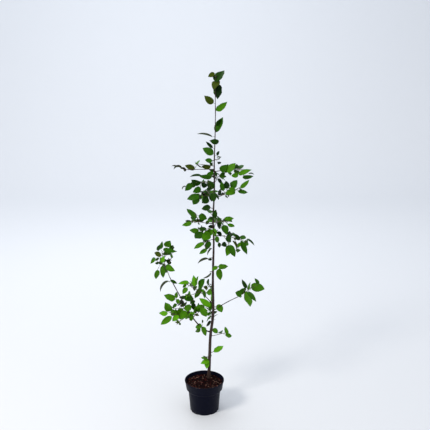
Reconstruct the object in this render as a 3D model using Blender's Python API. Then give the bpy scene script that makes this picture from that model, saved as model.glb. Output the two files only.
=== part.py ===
# Young european hornbeam in a round nursery pot
# Metres, +Z up. The origin is the centre of the pot's underside, +X is right and +Y is away in the photo.
import math
import random

import bmesh
import bpy
import numpy as np
from mathutils import Vector

MM = 0.001
GAP = 0.3 * MM
UP = Vector((0, 0, 1))
FRONT = Vector((0, -1, 0))

# Pot, outside radii from the foot to the lip
POT_HEIGHT = 127 * MM
POT_FOOT_R = 57.5 * MM
POT_WAIST_R = 64.5 * MM
POT_COLLAR_R = 73.0 * MM
POT_LIP_R = 79.0 * MM
POT_WAIST_Z = 84 * MM
POT_COLLAR_Z = 93 * MM
POT_WALL = 1.5 * MM
POT_FLOOR = 3.0 * MM
POT_LIP_DROP = 3.5 * MM
POT_LIP_OUT = 1.2 * MM
POT_SIDES = 40
NOTCHES = 8
NOTCH_WIDE = 15 * MM
NOTCH_HIGH = 4.0 * MM
NOTCH_DEEP = 1.6 * MM
NOTCH_OUT = 6 * MM
NOTCH_NARROW = 0.7
FOOT_RING = 4.5 * MM
FOOT_RING_HIGH = 8 * MM

# Compost
SOIL_Z = 113 * MM
SOIL_ROUGH = 1.6 * MM
SOIL_RINGS = 6
SOIL_FLAT_R = 16 * MM
SOIL_SEED = 5

# Trunk: sideways and depth offsets in mm at heights in mm
TRUNK_BENDS = (
    (17.3, 40, 113),
    (21.5, 40, 227),
    (24.5, 39, 300),
    (35.0, 38, 389),
    (34.5, 37, 545),
    (38.0, 38, 700),
    (35.5, 40, 770),
    (40.3, 41, 900),
    (40.0, 40, 1000),
    (43.0, 40, 1100),
    (44.5, 41, 1200),
    (43.2, 41, 1257),
    (48.0, 40, 1335),
)
TRUNK_FOOT_Z = SOIL_Z + GAP
TRUNK_TIP_Z = 1020 * MM
TRUNK_FOOT_R = 6.6 * MM
TRUNK_TIP_R = 2.3 * MM
LEADER_TIP_R = 0.9 * MM
FLARE_R = 3.2 * MM
FLARE_HIGH = 11 * MM
FLARE_STEPS = (0, 3, 7, 13, 22, 36)
TRUNK_SIDES = 10
TRUNK_STEP = 30 * MM

# Boughs and twigs
BOUGH_SIDES = 8
BOUGH_STEP = 20 * MM
BOUGH_COLLAR = 1.6
STEM_COLLAR = 3.2
STEM_R = 1.25 * MM
STEM_TIP_R = 0.75 * MM
STEM_SIDES = 4
STEM_JITTER = 3
STEM_END = 2.5 * MM
LEADER_END = 3 * MM
TWIG_R = 0.95 * MM
TWIG_TIP_R = 0.7 * MM
TWIG_SIDES = 3
TWIG_ALONG = 0.65
TWIG_ACROSS = 0.76
TWIG_LENGTHS = (0.75, 1.0)
TWIG_BEND = 0.12
TWIG_END = 2 * MM
FIRST_TWIG = 0.35
SPARE_TWIGS = 0.6
ZIGZAG = 9

# Leaves: shares of the leaf's own length, or degrees
LEAF_THICK = 0.022
LEAF_THICK_LEAST = 0.7 * MM
STALK = 0.14
STALK_R = 0.55 * MM
LEAF_STATIONS = ((0.12, 0.60), (0.42, 1.0), (0.76, 0.62))
LEAF_OPEN = 56
LEAF_OPEN_TIP = 18
LEAF_FOLD = 0.26
LEAF_CURL = 0.10
LEAF_JITTER = 18
LEAF_TRIES = 14
STRICT_TRIES = 10
LEAF_TURN = 32
LEAF_SIZES = (0.8, 1.14)
WIDTH_SPREAD = (0.9, 1.1)
FOLD_SPREAD = (0.4, 1.4)
CURL_SPREAD = (0.2, 2.0)
LEAF_FOOT_WIDE = 0.06
NEAR_NOTHING = 0.2

# Room kept round each solid
LEAF_CLEAR = 5.0 * MM
LIMB_CLEAR = 2.2 * MM
OWN_LEAF_CLEAR = 3.0 * MM
OWN_STEM_CLEAR = 2.0 * MM
CHECK_ALONG = 12
CHECK_ACROSS = 7
CHECK_STEP = 3 * MM
REACH = 1.35

# How a union is tried: the solver, and how near points are made one
FUSE_WAYS = (("EXACT", 0.02 * MM), ("EXACT", 0.005 * MM), ("EXACT", 0.0), ("MANIFOLD", 0.0))

# Colours of the solids
BLACK_PLASTIC = (0.012, 0.012, 0.015)
COMPOST = (0.035, 0.018, 0.012)
BARK = (0.075, 0.045, 0.035)
LEAF_BRIGHT = (0.11, 0.28, 0.03)
LEAF_MID = (0.055, 0.17, 0.025)
LEAF_DARK = (0.03, 0.10, 0.02)
LEAF_OLIVE = (0.13, 0.18, 0.05)


# One row for each bough
def bough(name, height, azimuth, rise, rise_tip, length, radius, tip_radius, turn=1.0):
    return dict(
        name="bough_" + name,
        height=height * MM,
        azimuth=azimuth,
        rise=rise,
        rise_tip=rise_tip,
        length=length * MM,
        radius=radius * MM,
        tip_radius=tip_radius * MM,
        turn=turn,
    )


# One row for each mass of leaves
def spray(name, carrier, place, azimuth, rise, bend, length, leaves, leaf, **more):
    row = dict(roll=35, hang=20, sides=0, broad=0.56, bare=0.22, tint=LEAF_MID, seed=1)
    row.update(more)
    row.update(
        name="leaves_" + name,
        carrier=carrier,
        place=place,
        azimuth=azimuth,
        rise=rise,
        bend=bend,
        length=length * MM,
        leaves=leaves,
        leaf=leaf * MM,
    )
    return row


# name, height mm, heading and rise in degrees, rise at the tip, length mm, radius mm at foot and tip
BOUGHS = (
    bough("low_left", 317, 192, 26, 64, 284, 2.7, 1.7, 4.5),
    bough("low_right", 413, -10, 38, 28, 98, 2.0, 1.4),
    bough("inner_left", 441, 189, 54, 48, 34, 2.0, 1.5),
    bough("mid_right", 716, -12, 2, -2, 16, 2.0, 1.5),
    bough("mid_left", 764, 187, 8, 4, 18, 2.0, 1.5),
    bough("right", 868, -11, 10, 16, 14, 1.9, 1.4),
    bough("upper_left", 925, 189, 4, 4, 16, 1.8, 1.4),
    bough("upper_right", 967, -8, 10, 8, 14, 1.8, 1.4),
    bough("top_left", 975, 177, 0, -3, 104, 1.6, 1.1),
    bough("back_mid", 735, 82, 25, 18, 34, 2.0, 1.5),
    bough("back_upper", 850, 108, 26, 18, 30, 1.8, 1.4),
)

# Leaves of the leading shoot: height mm, degrees from upright (right is positive), length mm, width share
LEADER_LEAVES = (
    (1026, 48, 27, 0.55),
    (1036, -60, 50, 0.62),
    (1052, -40, 36, 0.5),
    (1078, -80, 38, 0.6),
    (1099, -76, 58, 0.2),
    (1124, 150, 36, 0.56),
    (1140, 22, 50, 0.56),
    (1190, 54, 58, 0.5),
    (1220, -56, 46, 0.56),
    (1284, 168, 58, 0.52),
    (1294, -120, 38, 0.6),
    (1304, 34, 54, 0.6),
    (1316, -104, 36, 0.5),
)

# name, carrier, place (height mm on the trunk, share of a bough), heading, rise, bend, length mm,
# leaves, leaf length mm, then what differs from the usual
SPRAYS = (
    spray("leader", "trunk", 0, 0, 90, 0, 0, 13, 50, roll=84, hang=0, tint=LEAF_OLIVE, seed=8),
    spray("low_left_tuft", "trunk", 206, 206, 5, -10, 12, 3, 36, hang=45, tint=LEAF_BRIGHT, seed=6),
    spray("low_right_leaf", "trunk", 226, 8, 40, 0, 24, 1, 46, roll=60, hang=-10, tint=LEAF_BRIGHT,
          seed=10),
    spray("low_right_tuft", "trunk", 300, -4, 24, -10, 52, 3, 40, hang=10, bare=0.7, seed=8),
    spray("low_front_pair", "trunk", 326, -44, 30, 0, 18, 1, 42, roll=70, tint=LEAF_BRIGHT, seed=1),
    spray("low_left_foot", "bough_low_left", 0.12, 250, 30, -10, 16, 3, 44, roll=80, hang=10, seed=9),
    spray("low_left_outer", "bough_low_left", 0.32, 195, 34, -24, 84, 8, 54, sides=1, roll=60,
          bare=0.1, hang=-16, tint=LEAF_BRIGHT, seed=9),
    spray("low_left_inner", "bough_low_left", 0.34, -30, 50, -10, 34, 4, 54, roll=60, hang=-10, seed=14),
    spray("low_left_upper", "bough_low_left", 0.42, 160, 50, -10, 58, 8, 46, sides=1, roll=65,
          hang=-18, tint=LEAF_DARK, seed=6),
    spray("low_left_curled", "bough_low_left", 0.97, 250, 0, -10, 14, 2, 42, broad=0.32, roll=70,
          seed=1),
    spray("low_left_tip", "bough_low_left", 1.0, 194, 67, 12, 104, 8, 44, sides=3, roll=60, hang=0,
          seed=12),
    spray("inner_left", "bough_inner_left", 1.0, 189, 46, -20, 92, 8, 46, sides=1, roll=55, hang=5,
          bare=0.06, seed=7),
    spray("inner_left_leaf", "trunk", 447, 214, 26, 0, 12, 1, 60, roll=60, hang=8, tint=LEAF_BRIGHT,
          seed=1),
    spray("low_right", "bough_low_right", 1.0, -10, 32, 10, 72, 6, 52, roll=55, hang=22, bare=0.1,
          tint=LEAF_BRIGHT, seed=4),
    spray("low_right_foot", "trunk", 424, -38, 14, 0, 12, 1, 42, roll=70, hang=15, tint=LEAF_BRIGHT,
          seed=1),
    spray("bare_left", "trunk", 570, 188, -4, -20, 10, 1, 38, broad=0.3, seed=9),
    spray("bare_left_upper", "trunk", 626, 190, 0, -20, 20, 2, 42, broad=0.3, hang=5, seed=12),
    spray("bare_right", "trunk", 592, -24, 18, -20, 20, 3, 50, roll=55, hang=40, seed=10),
    spray("mid_left_low", "trunk", 700, 197, -8, -22, 46, 5, 50, hang=40, seed=7),
    spray("mid_left_lower", "trunk", 746, 200, -4, -12, 48, 6, 58, roll=50, hang=15, seed=9),
    spray("mid_left", "bough_mid_left", 1.0, 187, 10, -4, 60, 5, 46, roll=70, sides=1, hang=-12, seed=14),
    spray("mid_left_upper", "trunk", 824, 195, 18, 0, 12, 1, 42, roll=60, hang=5, seed=1),
    spray("mid_left_high", "trunk", 872, 192, 6, -12, 50, 5, 50, roll=50, seed=5),
    spray("upper_left", "bough_upper_left", 1.0, 189, 4, -16, 62, 6, 46, roll=45, hang=28, bare=0.05,
          seed=1),
    spray("upper_left_thin", "trunk", 950, 168, 2, -8, 28, 2, 56, broad=0.36, roll=60, hang=0, seed=7),
    spray("top_left", "bough_top_left", 1.0, 177, 20, 30, 26, 3, 26, broad=0.3, roll=60, seed=1),
    spray("top_left_upper", "trunk", 988, 160, 4, -4, 72, 3, 42, roll=70, bare=0.35, hang=0, seed=5),
    spray("top_left_leaf", "trunk", 1009, 205, 14, 0, 6, 1, 32, roll=60, hang=5, seed=13),
    spray("top_right", "trunk", 1012, -20, 8, 0, 13, 3, 26, roll=60, hang=5, seed=9),
    spray("upper_right", "bough_upper_right", 1.0, -8, 10, -14, 94, 8, 46, roll=50, hang=5,
          bare=0.02, seed=6),
    spray("right", "bough_right", 1.0, -11, 26, 0, 82, 7, 50, roll=55, hang=0, bare=0.02, seed=7),
    spray("mid_right_front", "trunk", 786, -68, 40, 0, 14, 1, 56, roll=80, tint=LEAF_MID, seed=6),
    spray("mid_right_upper", "trunk", 768, -16, 16, -14, 46, 5, 48, roll=50, hang=25, seed=3),
    spray("mid_right", "bough_mid_right", 1.0, -12, 2, -22, 98, 8, 50, sides=2, roll=45, hang=18,
          bare=0.02, seed=2),
    spray("back_low", "trunk", 345, 95, 38, -10, 62, 5, 42, seed=2),
    spray("back_inner", "trunk", 476, 112, 42, -14, 50, 4, 40, seed=3),
    spray("back_mid", "bough_back_mid", 1.0, 82, 18, -12, 74, 7, 46, sides=1, seed=4),
    spray("back_upper", "bough_back_upper", 1.0, 108, 18, -12, 68, 7, 44, sides=1, seed=5),
    spray("back_top", "trunk", 925, 72, 26, -14, 66, 6, 42, seed=6),
    spray("front_mid", "trunk", 733, -88, 14, -18, 36, 3, 44, roll=10, hang=35, seed=3),
    spray("front_upper", "trunk", 893, -96, 12, -18, 36, 3, 42, roll=10, hang=35, seed=4),
)


# Scene and materials
def clear_scene():
    for item in list(bpy.data.objects):
        bpy.data.objects.remove(item, do_unlink=True)


def paint(item, colour, roughness):
    material = bpy.data.materials.new(item.name)
    material.use_nodes = True
    shader = material.node_tree.nodes["Principled BSDF"]
    shader.inputs["Base Color"].default_value = (*colour, 1.0)
    shader.inputs["Roughness"].default_value = roughness
    shader.inputs["Metallic"].default_value = 0.0
    item.data.materials.append(material)


def add_object(name, points, faces):
    mesh = bpy.data.meshes.new(name)
    mesh.from_pydata([tuple(p) for p in points], [], faces)
    mesh.update()
    item = bpy.data.objects.new(name, mesh)
    bpy.context.scene.collection.objects.link(item)
    return item


def tidy_mesh(item):
    mesh = bmesh.new()
    mesh.from_mesh(item.data)
    bmesh.ops.triangulate(mesh, faces=mesh.faces[:])
    bmesh.ops.recalc_face_normals(mesh, faces=mesh.faces[:])
    mesh.to_mesh(item.data)
    mesh.free()


# A solid turned from a profile of radius and height pairs
def turned(name, profile, sides):
    points = []
    for radius, height in profile:
        for k in range(sides):
            angle = 2 * math.pi * k / sides
            points.append((radius * math.cos(angle), radius * math.sin(angle), height))
    faces = []
    for i in range(len(profile) - 1):
        for k in range(sides):
            k2 = (k + 1) % sides
            a, b = i * sides, (i + 1) * sides
            faces.append((a + k, a + k2, b + k2, b + k))
    faces.append(tuple(range(sides))[::-1])
    last = (len(profile) - 1) * sides
    faces.append(tuple(last + k for k in range(sides)))
    return add_object(name, points, faces)


def pot_outside(z):
    heights = (0.0, POT_WAIST_Z, POT_COLLAR_Z, POT_HEIGHT)
    radii = (POT_FOOT_R, POT_WAIST_R, POT_COLLAR_R, POT_LIP_R - POT_LIP_OUT)
    return float(np.interp(z, heights, radii))


# The pot's inner face, with the thick foot ring that the notches are cut in
def pot_inside():
    ring_top = POT_FLOOR + FOOT_RING_HIGH
    collar_in = POT_COLLAR_Z + POT_WALL
    return (
        (pot_outside(POT_FLOOR) - FOOT_RING, POT_FLOOR),
        (pot_outside(FOOT_RING_HIGH) - FOOT_RING, FOOT_RING_HIGH),
        (pot_outside(ring_top) - POT_WALL, ring_top),
        (POT_WAIST_R - POT_WALL, POT_WAIST_Z),
        (POT_COLLAR_R - POT_WALL, collar_in),
        (POT_LIP_R - POT_LIP_OUT - POT_WALL, POT_HEIGHT),
    )


def make_pot():
    lip_foot = POT_HEIGHT - POT_LIP_DROP
    outer = [
        (POT_FOOT_R, 0.0),
        (POT_WAIST_R, POT_WAIST_Z),
        (POT_COLLAR_R, POT_COLLAR_Z),
        (pot_outside(lip_foot), lip_foot),
        (POT_LIP_R, lip_foot),
        (POT_LIP_R, POT_HEIGHT),
    ]
    pot = turned("pot", outer + list(pot_inside())[::-1], POT_SIDES)
    tidy_mesh(pot)
    cut_notches(pot)
    paint(pot, BLACK_PLASTIC, 0.45)
    return pot


# Small drainage notches round the lower edge
def cut_notches(pot):
    points, faces = [], []
    for n in range(NOTCHES):
        angle = 2 * math.pi * (n + 0.5) / NOTCHES
        out = Vector((math.cos(angle), math.sin(angle), 0))
        side = UP.cross(out)
        near = POT_FOOT_R - NOTCH_DEEP
        far = near + NOTCH_OUT
        start = len(points)
        for z in (-MM, NOTCH_HIGH):
            wide = NOTCH_WIDE if z < 0 else NOTCH_WIDE * NOTCH_NARROW
            for reach, half in ((near, -0.5), (near, 0.5), (far, 0.5), (far, -0.5)):
                points.append(out * reach + side * half * wide + UP * z)
        box = ((3, 2, 1, 0), (4, 5, 6, 7), (0, 1, 5, 4), (1, 2, 6, 5), (2, 3, 7, 6), (3, 0, 4, 7))
        faces += [tuple(start + i for i in face) for face in box]
    cutter = add_object("notch_cutter", points, faces)
    tidy_mesh(cutter)
    cut = pot.modifiers.new("Notches", "BOOLEAN")
    cut.operation = "DIFFERENCE"
    cut.solver = "EXACT"
    cut.object = cutter
    freeze(pot)
    bpy.data.objects.remove(cutter, do_unlink=True)


# Writes the modifiers into the mesh
def freeze(item):
    bpy.context.view_layer.update()
    graph = bpy.context.evaluated_depsgraph_get()
    mesh = bpy.data.meshes.new_from_object(item.evaluated_get(graph))
    item.modifiers.clear()
    item.data = mesh


def make_soil(trunk_foot):
    rng = random.Random(SOIL_SEED)
    profile = [(r - GAP, z) for r, z in pot_inside() if z < SOIL_Z]
    profile[0] = (profile[0][0], POT_FLOOR + GAP)
    lip_share = (SOIL_Z - POT_COLLAR_Z) / (POT_HEIGHT - POT_COLLAR_Z)
    edge = POT_COLLAR_R + lip_share * (POT_LIP_R - POT_LIP_OUT - POT_COLLAR_R) - POT_WALL - 3 * GAP
    profile.append((edge, SOIL_Z))
    for ring in range(SOIL_RINGS - 1, 0, -1):
        profile.append((edge * ring / SOIL_RINGS, SOIL_Z))
    soil = turned("soil", profile, POT_SIDES)
    for vertex in soil.data.vertices:
        spot = vertex.co
        inside = spot.xy.length < edge - MM and spot.z > SOIL_Z - MM
        away = (spot.xy - trunk_foot.xy).length
        rough = rng.uniform(-1, 1) * SOIL_ROUGH
        if inside and away > SOIL_FLAT_R:
            vertex.co.z += rough
    tidy_mesh(soil)
    paint(soil, COMPOST, 0.95)


# Limbs are lines of points with a radius at each
class Limb:
    def __init__(self, name, points, radii):
        self.name = name
        self.points = points
        self.radii = radii

    def at_share(self, share):
        steps = [(b - a).length for a, b in zip(self.points, self.points[1:])]
        left = share * sum(steps)
        for i, step in enumerate(steps):
            if left <= step or i == len(steps) - 1:
                return self.between(i, min(left / step, 1.0))
            left -= step

    def at_height(self, z):
        for i in range(len(self.points) - 1):
            low, high = self.points[i].z, self.points[i + 1].z
            if low <= z <= high:
                return self.between(i, (z - low) / (high - low))

    def between(self, i, share):
        a, b = self.points[i], self.points[i + 1]
        radius = self.radii[i] + (self.radii[i + 1] - self.radii[i]) * share
        return a.lerp(b, share), (b - a).normalized(), radius


def smooth_bend(z):
    rows = TRUNK_BENDS
    k = 0
    while k < len(rows) - 2 and rows[k + 1][2] * MM < z:
        k += 1
    a, b = rows[k], rows[k + 1]
    before = rows[max(k - 1, 0)]
    after = rows[min(k + 2, len(rows) - 1)]
    t = (z / MM - a[2]) / (b[2] - a[2])
    found = []
    for axis in (0, 1):
        slope_a = (b[axis] - before[axis]) / (b[2] - before[2]) * (b[2] - a[2])
        slope_b = (after[axis] - a[axis]) / (after[2] - a[2]) * (b[2] - a[2])
        h1 = 2 * t**3 - 3 * t**2 + 1
        h2 = t**3 - 2 * t**2 + t
        h3 = -2 * t**3 + 3 * t**2
        h4 = t**3 - t**2
        found.append(h1 * a[axis] + h2 * slope_a + h3 * b[axis] + h4 * slope_b)
    return Vector((found[0] * MM, found[1] * MM, z))


def trunk_radius(z):
    share = (z - TRUNK_FOOT_Z) / (TRUNK_TIP_Z - TRUNK_FOOT_Z)
    flare = FLARE_R * math.exp(-(z - TRUNK_FOOT_Z) / FLARE_HIGH)
    return TRUNK_FOOT_R + (TRUNK_TIP_R - TRUNK_FOOT_R) * share + flare


def trunk_line():
    heights = [TRUNK_FOOT_Z + step * MM for step in FLARE_STEPS]
    steps = round((TRUNK_TIP_Z - heights[-1]) / TRUNK_STEP)
    first = heights[-1]
    heights += [first + (TRUNK_TIP_Z - first) * (i + 1) / steps for i in range(steps)]
    return Limb("trunk", [smooth_bend(z) for z in heights], [trunk_radius(z) for z in heights])


def heading(azimuth, rise):
    a, r = math.radians(azimuth), math.radians(rise)
    return Vector((math.cos(a) * math.cos(r), math.sin(a) * math.cos(r), math.sin(r)))


# Where a limb leaves its carrier, clear of it by the gap: the foot, and the way out
def foot_on(carrier, place, azimuth, radius):
    if carrier.name == "trunk":
        spot, along, thick = carrier.at_height(place * MM)
    else:
        spot, along, thick = carrier.at_share(place)
    if place == 1.0:
        return spot + along * GAP, along
    out = heading(azimuth, 0)
    out = (out - along * out.dot(along)).normalized()
    return spot + out * (thick + GAP), out


def bough_line(row, trunk):
    foot, out = foot_on(trunk, row["height"] / MM, row["azimuth"], row["radius"])
    spot = foot + out * row["radius"] * BOUGH_COLLAR
    points = [foot, spot]
    steps = max(3, round(row["length"] / BOUGH_STEP))
    for i in range(steps):
        left = (1 - (i + 0.5) / steps) ** row["turn"]
        rise = row["rise_tip"] + (row["rise"] - row["rise_tip"]) * left
        spot = spot + heading(row["azimuth"], rise) * (row["length"] / steps)
        points.append(spot)
    radii = [row["radius"] + (row["tip_radius"] - row["radius"]) * i / (steps + 1) for i in range(steps + 2)]
    return Limb(row["name"], points, radii)


# The stem of a mass: a zigzag from its foot, with the places where leaves and side twigs leave it
def stem_line(row, carrier, rng):
    radius = min(STEM_R, carrier.radii[-1]) if row["place"] == 1.0 else STEM_R
    foot, out = foot_on(carrier, row["place"], row["azimuth"], radius)
    points = [foot, foot + out * radius * STEM_COLLAR]
    count = row["leaves"] + row["sides"]
    gap_share = (1 - row["bare"]) / max(count - 0.5, 0.5)
    shares = [row["bare"] + gap_share * i for i in range(count)]
    done = 0.0
    spot = points[-1]
    for i, share in enumerate(shares):
        turn = ZIGZAG * (1 if i % 2 else -1) + rng.uniform(-1, 1) * STEM_JITTER
        rise = row["rise"] + row["bend"] * share + rng.uniform(-1, 1) * STEM_JITTER
        spot = spot + heading(row["azimuth"] + turn, rise) * (share - done) * row["length"]
        points.append(spot)
        done = share
    last = heading(row["azimuth"], row["rise"] + row["bend"])
    points.append(spot + last * STEM_END)
    radii = taper(radius, STEM_TIP_R, len(points))
    return Limb(row["name"], points, radii)


def leader_line(row):
    tip = smooth_bend(TRUNK_TIP_Z)
    points = [tip + UP * GAP]
    points += [smooth_bend(height * MM) for height, _, _, _ in LEADER_LEAVES]
    points.append(points[-1] + UP * LEADER_END)
    return Limb(row["name"], points, taper(TRUNK_TIP_R, LEADER_TIP_R, len(points)))


def taper(first, last, count):
    return [first + (last - first) * i / (count - 1) for i in range(count)]


# The upper side of a spray: up, rolled towards the front
def spray_normal(along, roll):
    side = along.cross(UP)
    if side.length < NEAR_NOTHING:
        side = FRONT - along * FRONT.dot(along)
    if side.dot(FRONT) < 0:
        side = -side
    side.normalize()
    top = along.cross(side)
    if top.z < 0:
        top = -top
    turn = math.radians(roll)
    return (top * math.cos(turn) + side * math.sin(turn)).normalized()


# One leaf: its foot, the way it points, its upper side, length, width, fold and curl
def try_leaf(row, foot, along, normal, side, spread, size, broad, rng):
    open_by = math.radians(spread + rng.uniform(-1, 1) * LEAF_JITTER)
    across = along.cross(normal) * side
    way = along * math.cos(open_by) + across * math.sin(open_by)
    hang = math.radians(row["hang"] + rng.uniform(-1, 1) * LEAF_JITTER)
    way = (way * math.cos(hang) - UP * math.sin(hang)).normalized()
    top = normal - way * normal.dot(way)
    if top.length < NEAR_NOTHING:
        top = along - way * along.dot(way)
    top.normalize()
    tip_over = math.radians(rng.uniform(-1, 1) * LEAF_TURN)
    top = (top * math.cos(tip_over) + way.cross(top) * math.sin(tip_over)).normalized()
    return dict(
        foot=foot,
        way=way,
        top=top,
        length=size,
        width=size * broad * rng.uniform(*WIDTH_SPREAD),
        fold=LEAF_FOLD * rng.uniform(*FOLD_SPREAD),
        curl=LEAF_CURL * rng.uniform(*CURL_SPREAD),
    )


# A point on a leaf: share along it, share of the half width across
def leaf_spot(leaf, along, across, half):
    way, top = leaf["way"], leaf["top"]
    side = way.cross(top)
    length = leaf["length"]
    start = leaf["foot"] + way * STALK * length
    blade = length * (1 - STALK)
    spot = start + way * (along * blade) - top * (leaf["curl"] * blade * along**2)
    return spot + side * (across * half) + top * (abs(across) * half * leaf["fold"])


def leaf_half(leaf, along):
    shares = (0.0,) + tuple(s for s, _ in LEAF_STATIONS) + (1.0,)
    widths = (LEAF_FOOT_WIDE,) + tuple(w for _, w in LEAF_STATIONS) + (0.0,)
    return float(np.interp(along, shares, widths)) * leaf["width"] / 2


def leaf_samples(leaf):
    found = []
    for i in range(CHECK_ALONG):
        along = i / (CHECK_ALONG - 1)
        half = leaf_half(leaf, along)
        for k in range(CHECK_ACROSS):
            across = 2 * k / (CHECK_ACROSS - 1) - 1
            found.append(leaf_spot(leaf, along, across, half)[:])
    return np.array(found)


def limb_samples(limb):
    found, radii = [], []
    for i in range(len(limb.points) - 1):
        a, b = limb.points[i], limb.points[i + 1]
        steps = max(1, round((b - a).length / CHECK_STEP))
        for k in range(steps + 1):
            found.append(a.lerp(b, k / steps)[:])
            radii.append(limb.radii[i])
    return np.array(found), np.array(radii)


def nearest(points, others):
    gaps = points[:, None, :] - others[None, :, :]
    return np.sqrt((gaps**2).sum(axis=2))


# In the first tries a leaf also keeps off its own mass's leaves and stems
def leaf_is_free(samples, mass):
    blade = samples[CHECK_ACROSS:]
    if nearest(blade, mass["stem_samples"]).min() < OWN_STEM_CLEAR:
        return False
    return all(nearest(blade, leaf).min() > OWN_LEAF_CLEAR for leaf in mass["own"])


# A leaf keeps to its own mass's space, off every limb and off the other masses
def leaf_fits(samples, mass, others):
    own = nearest(samples, mass["stem_samples"])
    if own.min(axis=1).max() > mass["row"]["leaf"] * REACH:
        return False
    for limb_points, limb_radii, owner in others["limbs"]:
        if owner == mass["row"]["name"]:
            continue
        room = nearest(samples, limb_points) - limb_radii[None, :]
        if room.min() < LIMB_CLEAR:
            return False
    for owner, points in others["leaves"]:
        if owner == mass["row"]["name"]:
            continue
        if nearest(samples, points).min() < LEAF_CLEAR:
            return False
    return True


# Leaf nodes of a stem or twig: place, direction, side
def leaf_nodes(limb, first, skip):
    nodes = []
    for i in range(first, len(limb.points) - 1):
        if i not in skip:
            along = (limb.points[i + 1] - limb.points[i - 1]).normalized()
            nodes.append((limb.points[i], along, i))
    return nodes


def side_twig(row, stem, index, side, normal, rng):
    along = (stem.points[index + 1] - stem.points[index - 1]).normalized()
    across = along.cross(normal) * side
    way = (along * TWIG_ALONG + across * TWIG_ACROSS).normalized()
    length = row["leaf"] * rng.uniform(*TWIG_LENGTHS)
    foot = stem.points[index]
    bend = UP * rng.uniform(-1, 1) * TWIG_BEND
    middle = foot + way * length * 0.5
    end = middle + (way + bend).normalized() * length * 0.5
    points = [foot, middle, end, end + way * TWIG_END]
    return Limb(row["name"], points, taper(TWIG_R, TWIG_TIP_R, 4))


# Which stem nodes carry a side twig instead of a leaf
def twig_places(row):
    count = row["leaves"] + row["sides"]
    gap = count / (row["sides"] + SPARE_TWIGS)
    return [2 + round((n + FIRST_TWIG) * gap) for n in range(row["sides"])]


def plan_mass(row, limbs):
    rng = random.Random(row["seed"])
    if row["length"] == 0:
        stem = leader_line(row)
        first = 1
    else:
        stem = stem_line(row, limbs[row["carrier"]], rng)
        first = 2
    places = twig_places(row)
    twigs = []
    for index in places:
        along = (stem.points[index + 1] - stem.points[index - 1]).normalized()
        normal = spray_normal(along, row["roll"])
        side = 1 if index % 2 else -1
        twigs.append((side_twig(row, stem, index, side, normal, rng), index))
    lines = [stem] + [twig for twig, _ in twigs]
    samples = np.concatenate([limb_samples(line)[0] for line in lines])
    return dict(row=row, rng=rng, stem=stem, first=first, places=places, twigs=twigs, lines=lines,
                stem_samples=samples, leaves=[], own=[])


# The places of a mass's leaves: spot, way of the stem, side, degrees it opens by, length, width share
def leaf_jobs(mass):
    row, rng, stem = mass["row"], mass["rng"], mass["stem"]
    jobs = []
    for spot, along, index in leaf_nodes(stem, mass["first"], mass["places"]):
        last = index == len(stem.points) - 2
        size = row["leaf"] * rng.uniform(*LEAF_SIZES)
        spread = LEAF_OPEN_TIP if last else LEAF_OPEN
        jobs.append((spot, along, 1 if index % 2 else -1, spread, size, row["broad"]))
    for twig, index in mass["twigs"]:
        for k, (spot, along, _) in enumerate(leaf_nodes(twig, 1, ())):
            size = row["leaf"] * rng.uniform(*LEAF_SIZES)
            spread = LEAF_OPEN_TIP if k else LEAF_OPEN
            jobs.append((spot, along, 1 if k % 2 else -1, spread, size, row["broad"]))
    return jobs


def leader_jobs(mass):
    jobs = []
    for (_, lean, length, broad), spot in zip(LEADER_LEAVES, mass["stem"].points[1:]):
        jobs.append((spot, UP, 1 if lean > 0 else -1, abs(lean), length * MM, broad))
    return jobs


def grow_leaves(mass, others):
    row, rng = mass["row"], mass["rng"]
    jobs = leader_jobs(mass) if row["length"] == 0 else leaf_jobs(mass)
    for spot, along, side, spread, size, broad in jobs:
        normal = spray_normal(along, row["roll"])
        for attempt in range(LEAF_TRIES):
            leaf = try_leaf(row, spot, along, normal, side, spread, size, broad, rng)
            samples = leaf_samples(leaf)
            if attempt < STRICT_TRIES and not leaf_is_free(samples, mass):
                continue
            if leaf_fits(samples, mass, others):
                mass["leaves"].append(leaf)
                mass["own"].append(samples)
                others["leaves"].append((row["name"], samples))
                break


# Meshes
def tube(points, radii, sides, first_way=None):
    found, faces = [], []
    count = len(points)
    guide = Vector((0.31, 0.57, 0.76))
    for i in range(count):
        way = points[min(i + 1, count - 1)] - points[max(i - 1, 0)]
        if i == 0 and first_way is not None:
            way = first_way
        way = way.normalized()
        guide = (guide - way * guide.dot(way)).normalized()
        other = way.cross(guide)
        for k in range(sides):
            angle = 2 * math.pi * k / sides
            found.append(points[i] + (guide * math.cos(angle) + other * math.sin(angle)) * radii[i])
    for i in range(count - 1):
        a, b = i * sides, (i + 1) * sides
        for k in range(sides):
            k2 = (k + 1) % sides
            faces.append((a + k, a + k2, b + k2))
            faces.append((a + k, b + k2, b + k))
    for k in range(1, sides - 1):
        faces.append((0, k + 1, k))
        last = (count - 1) * sides
        faces.append((last, last + k, last + k + 1))
    return found, faces


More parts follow.
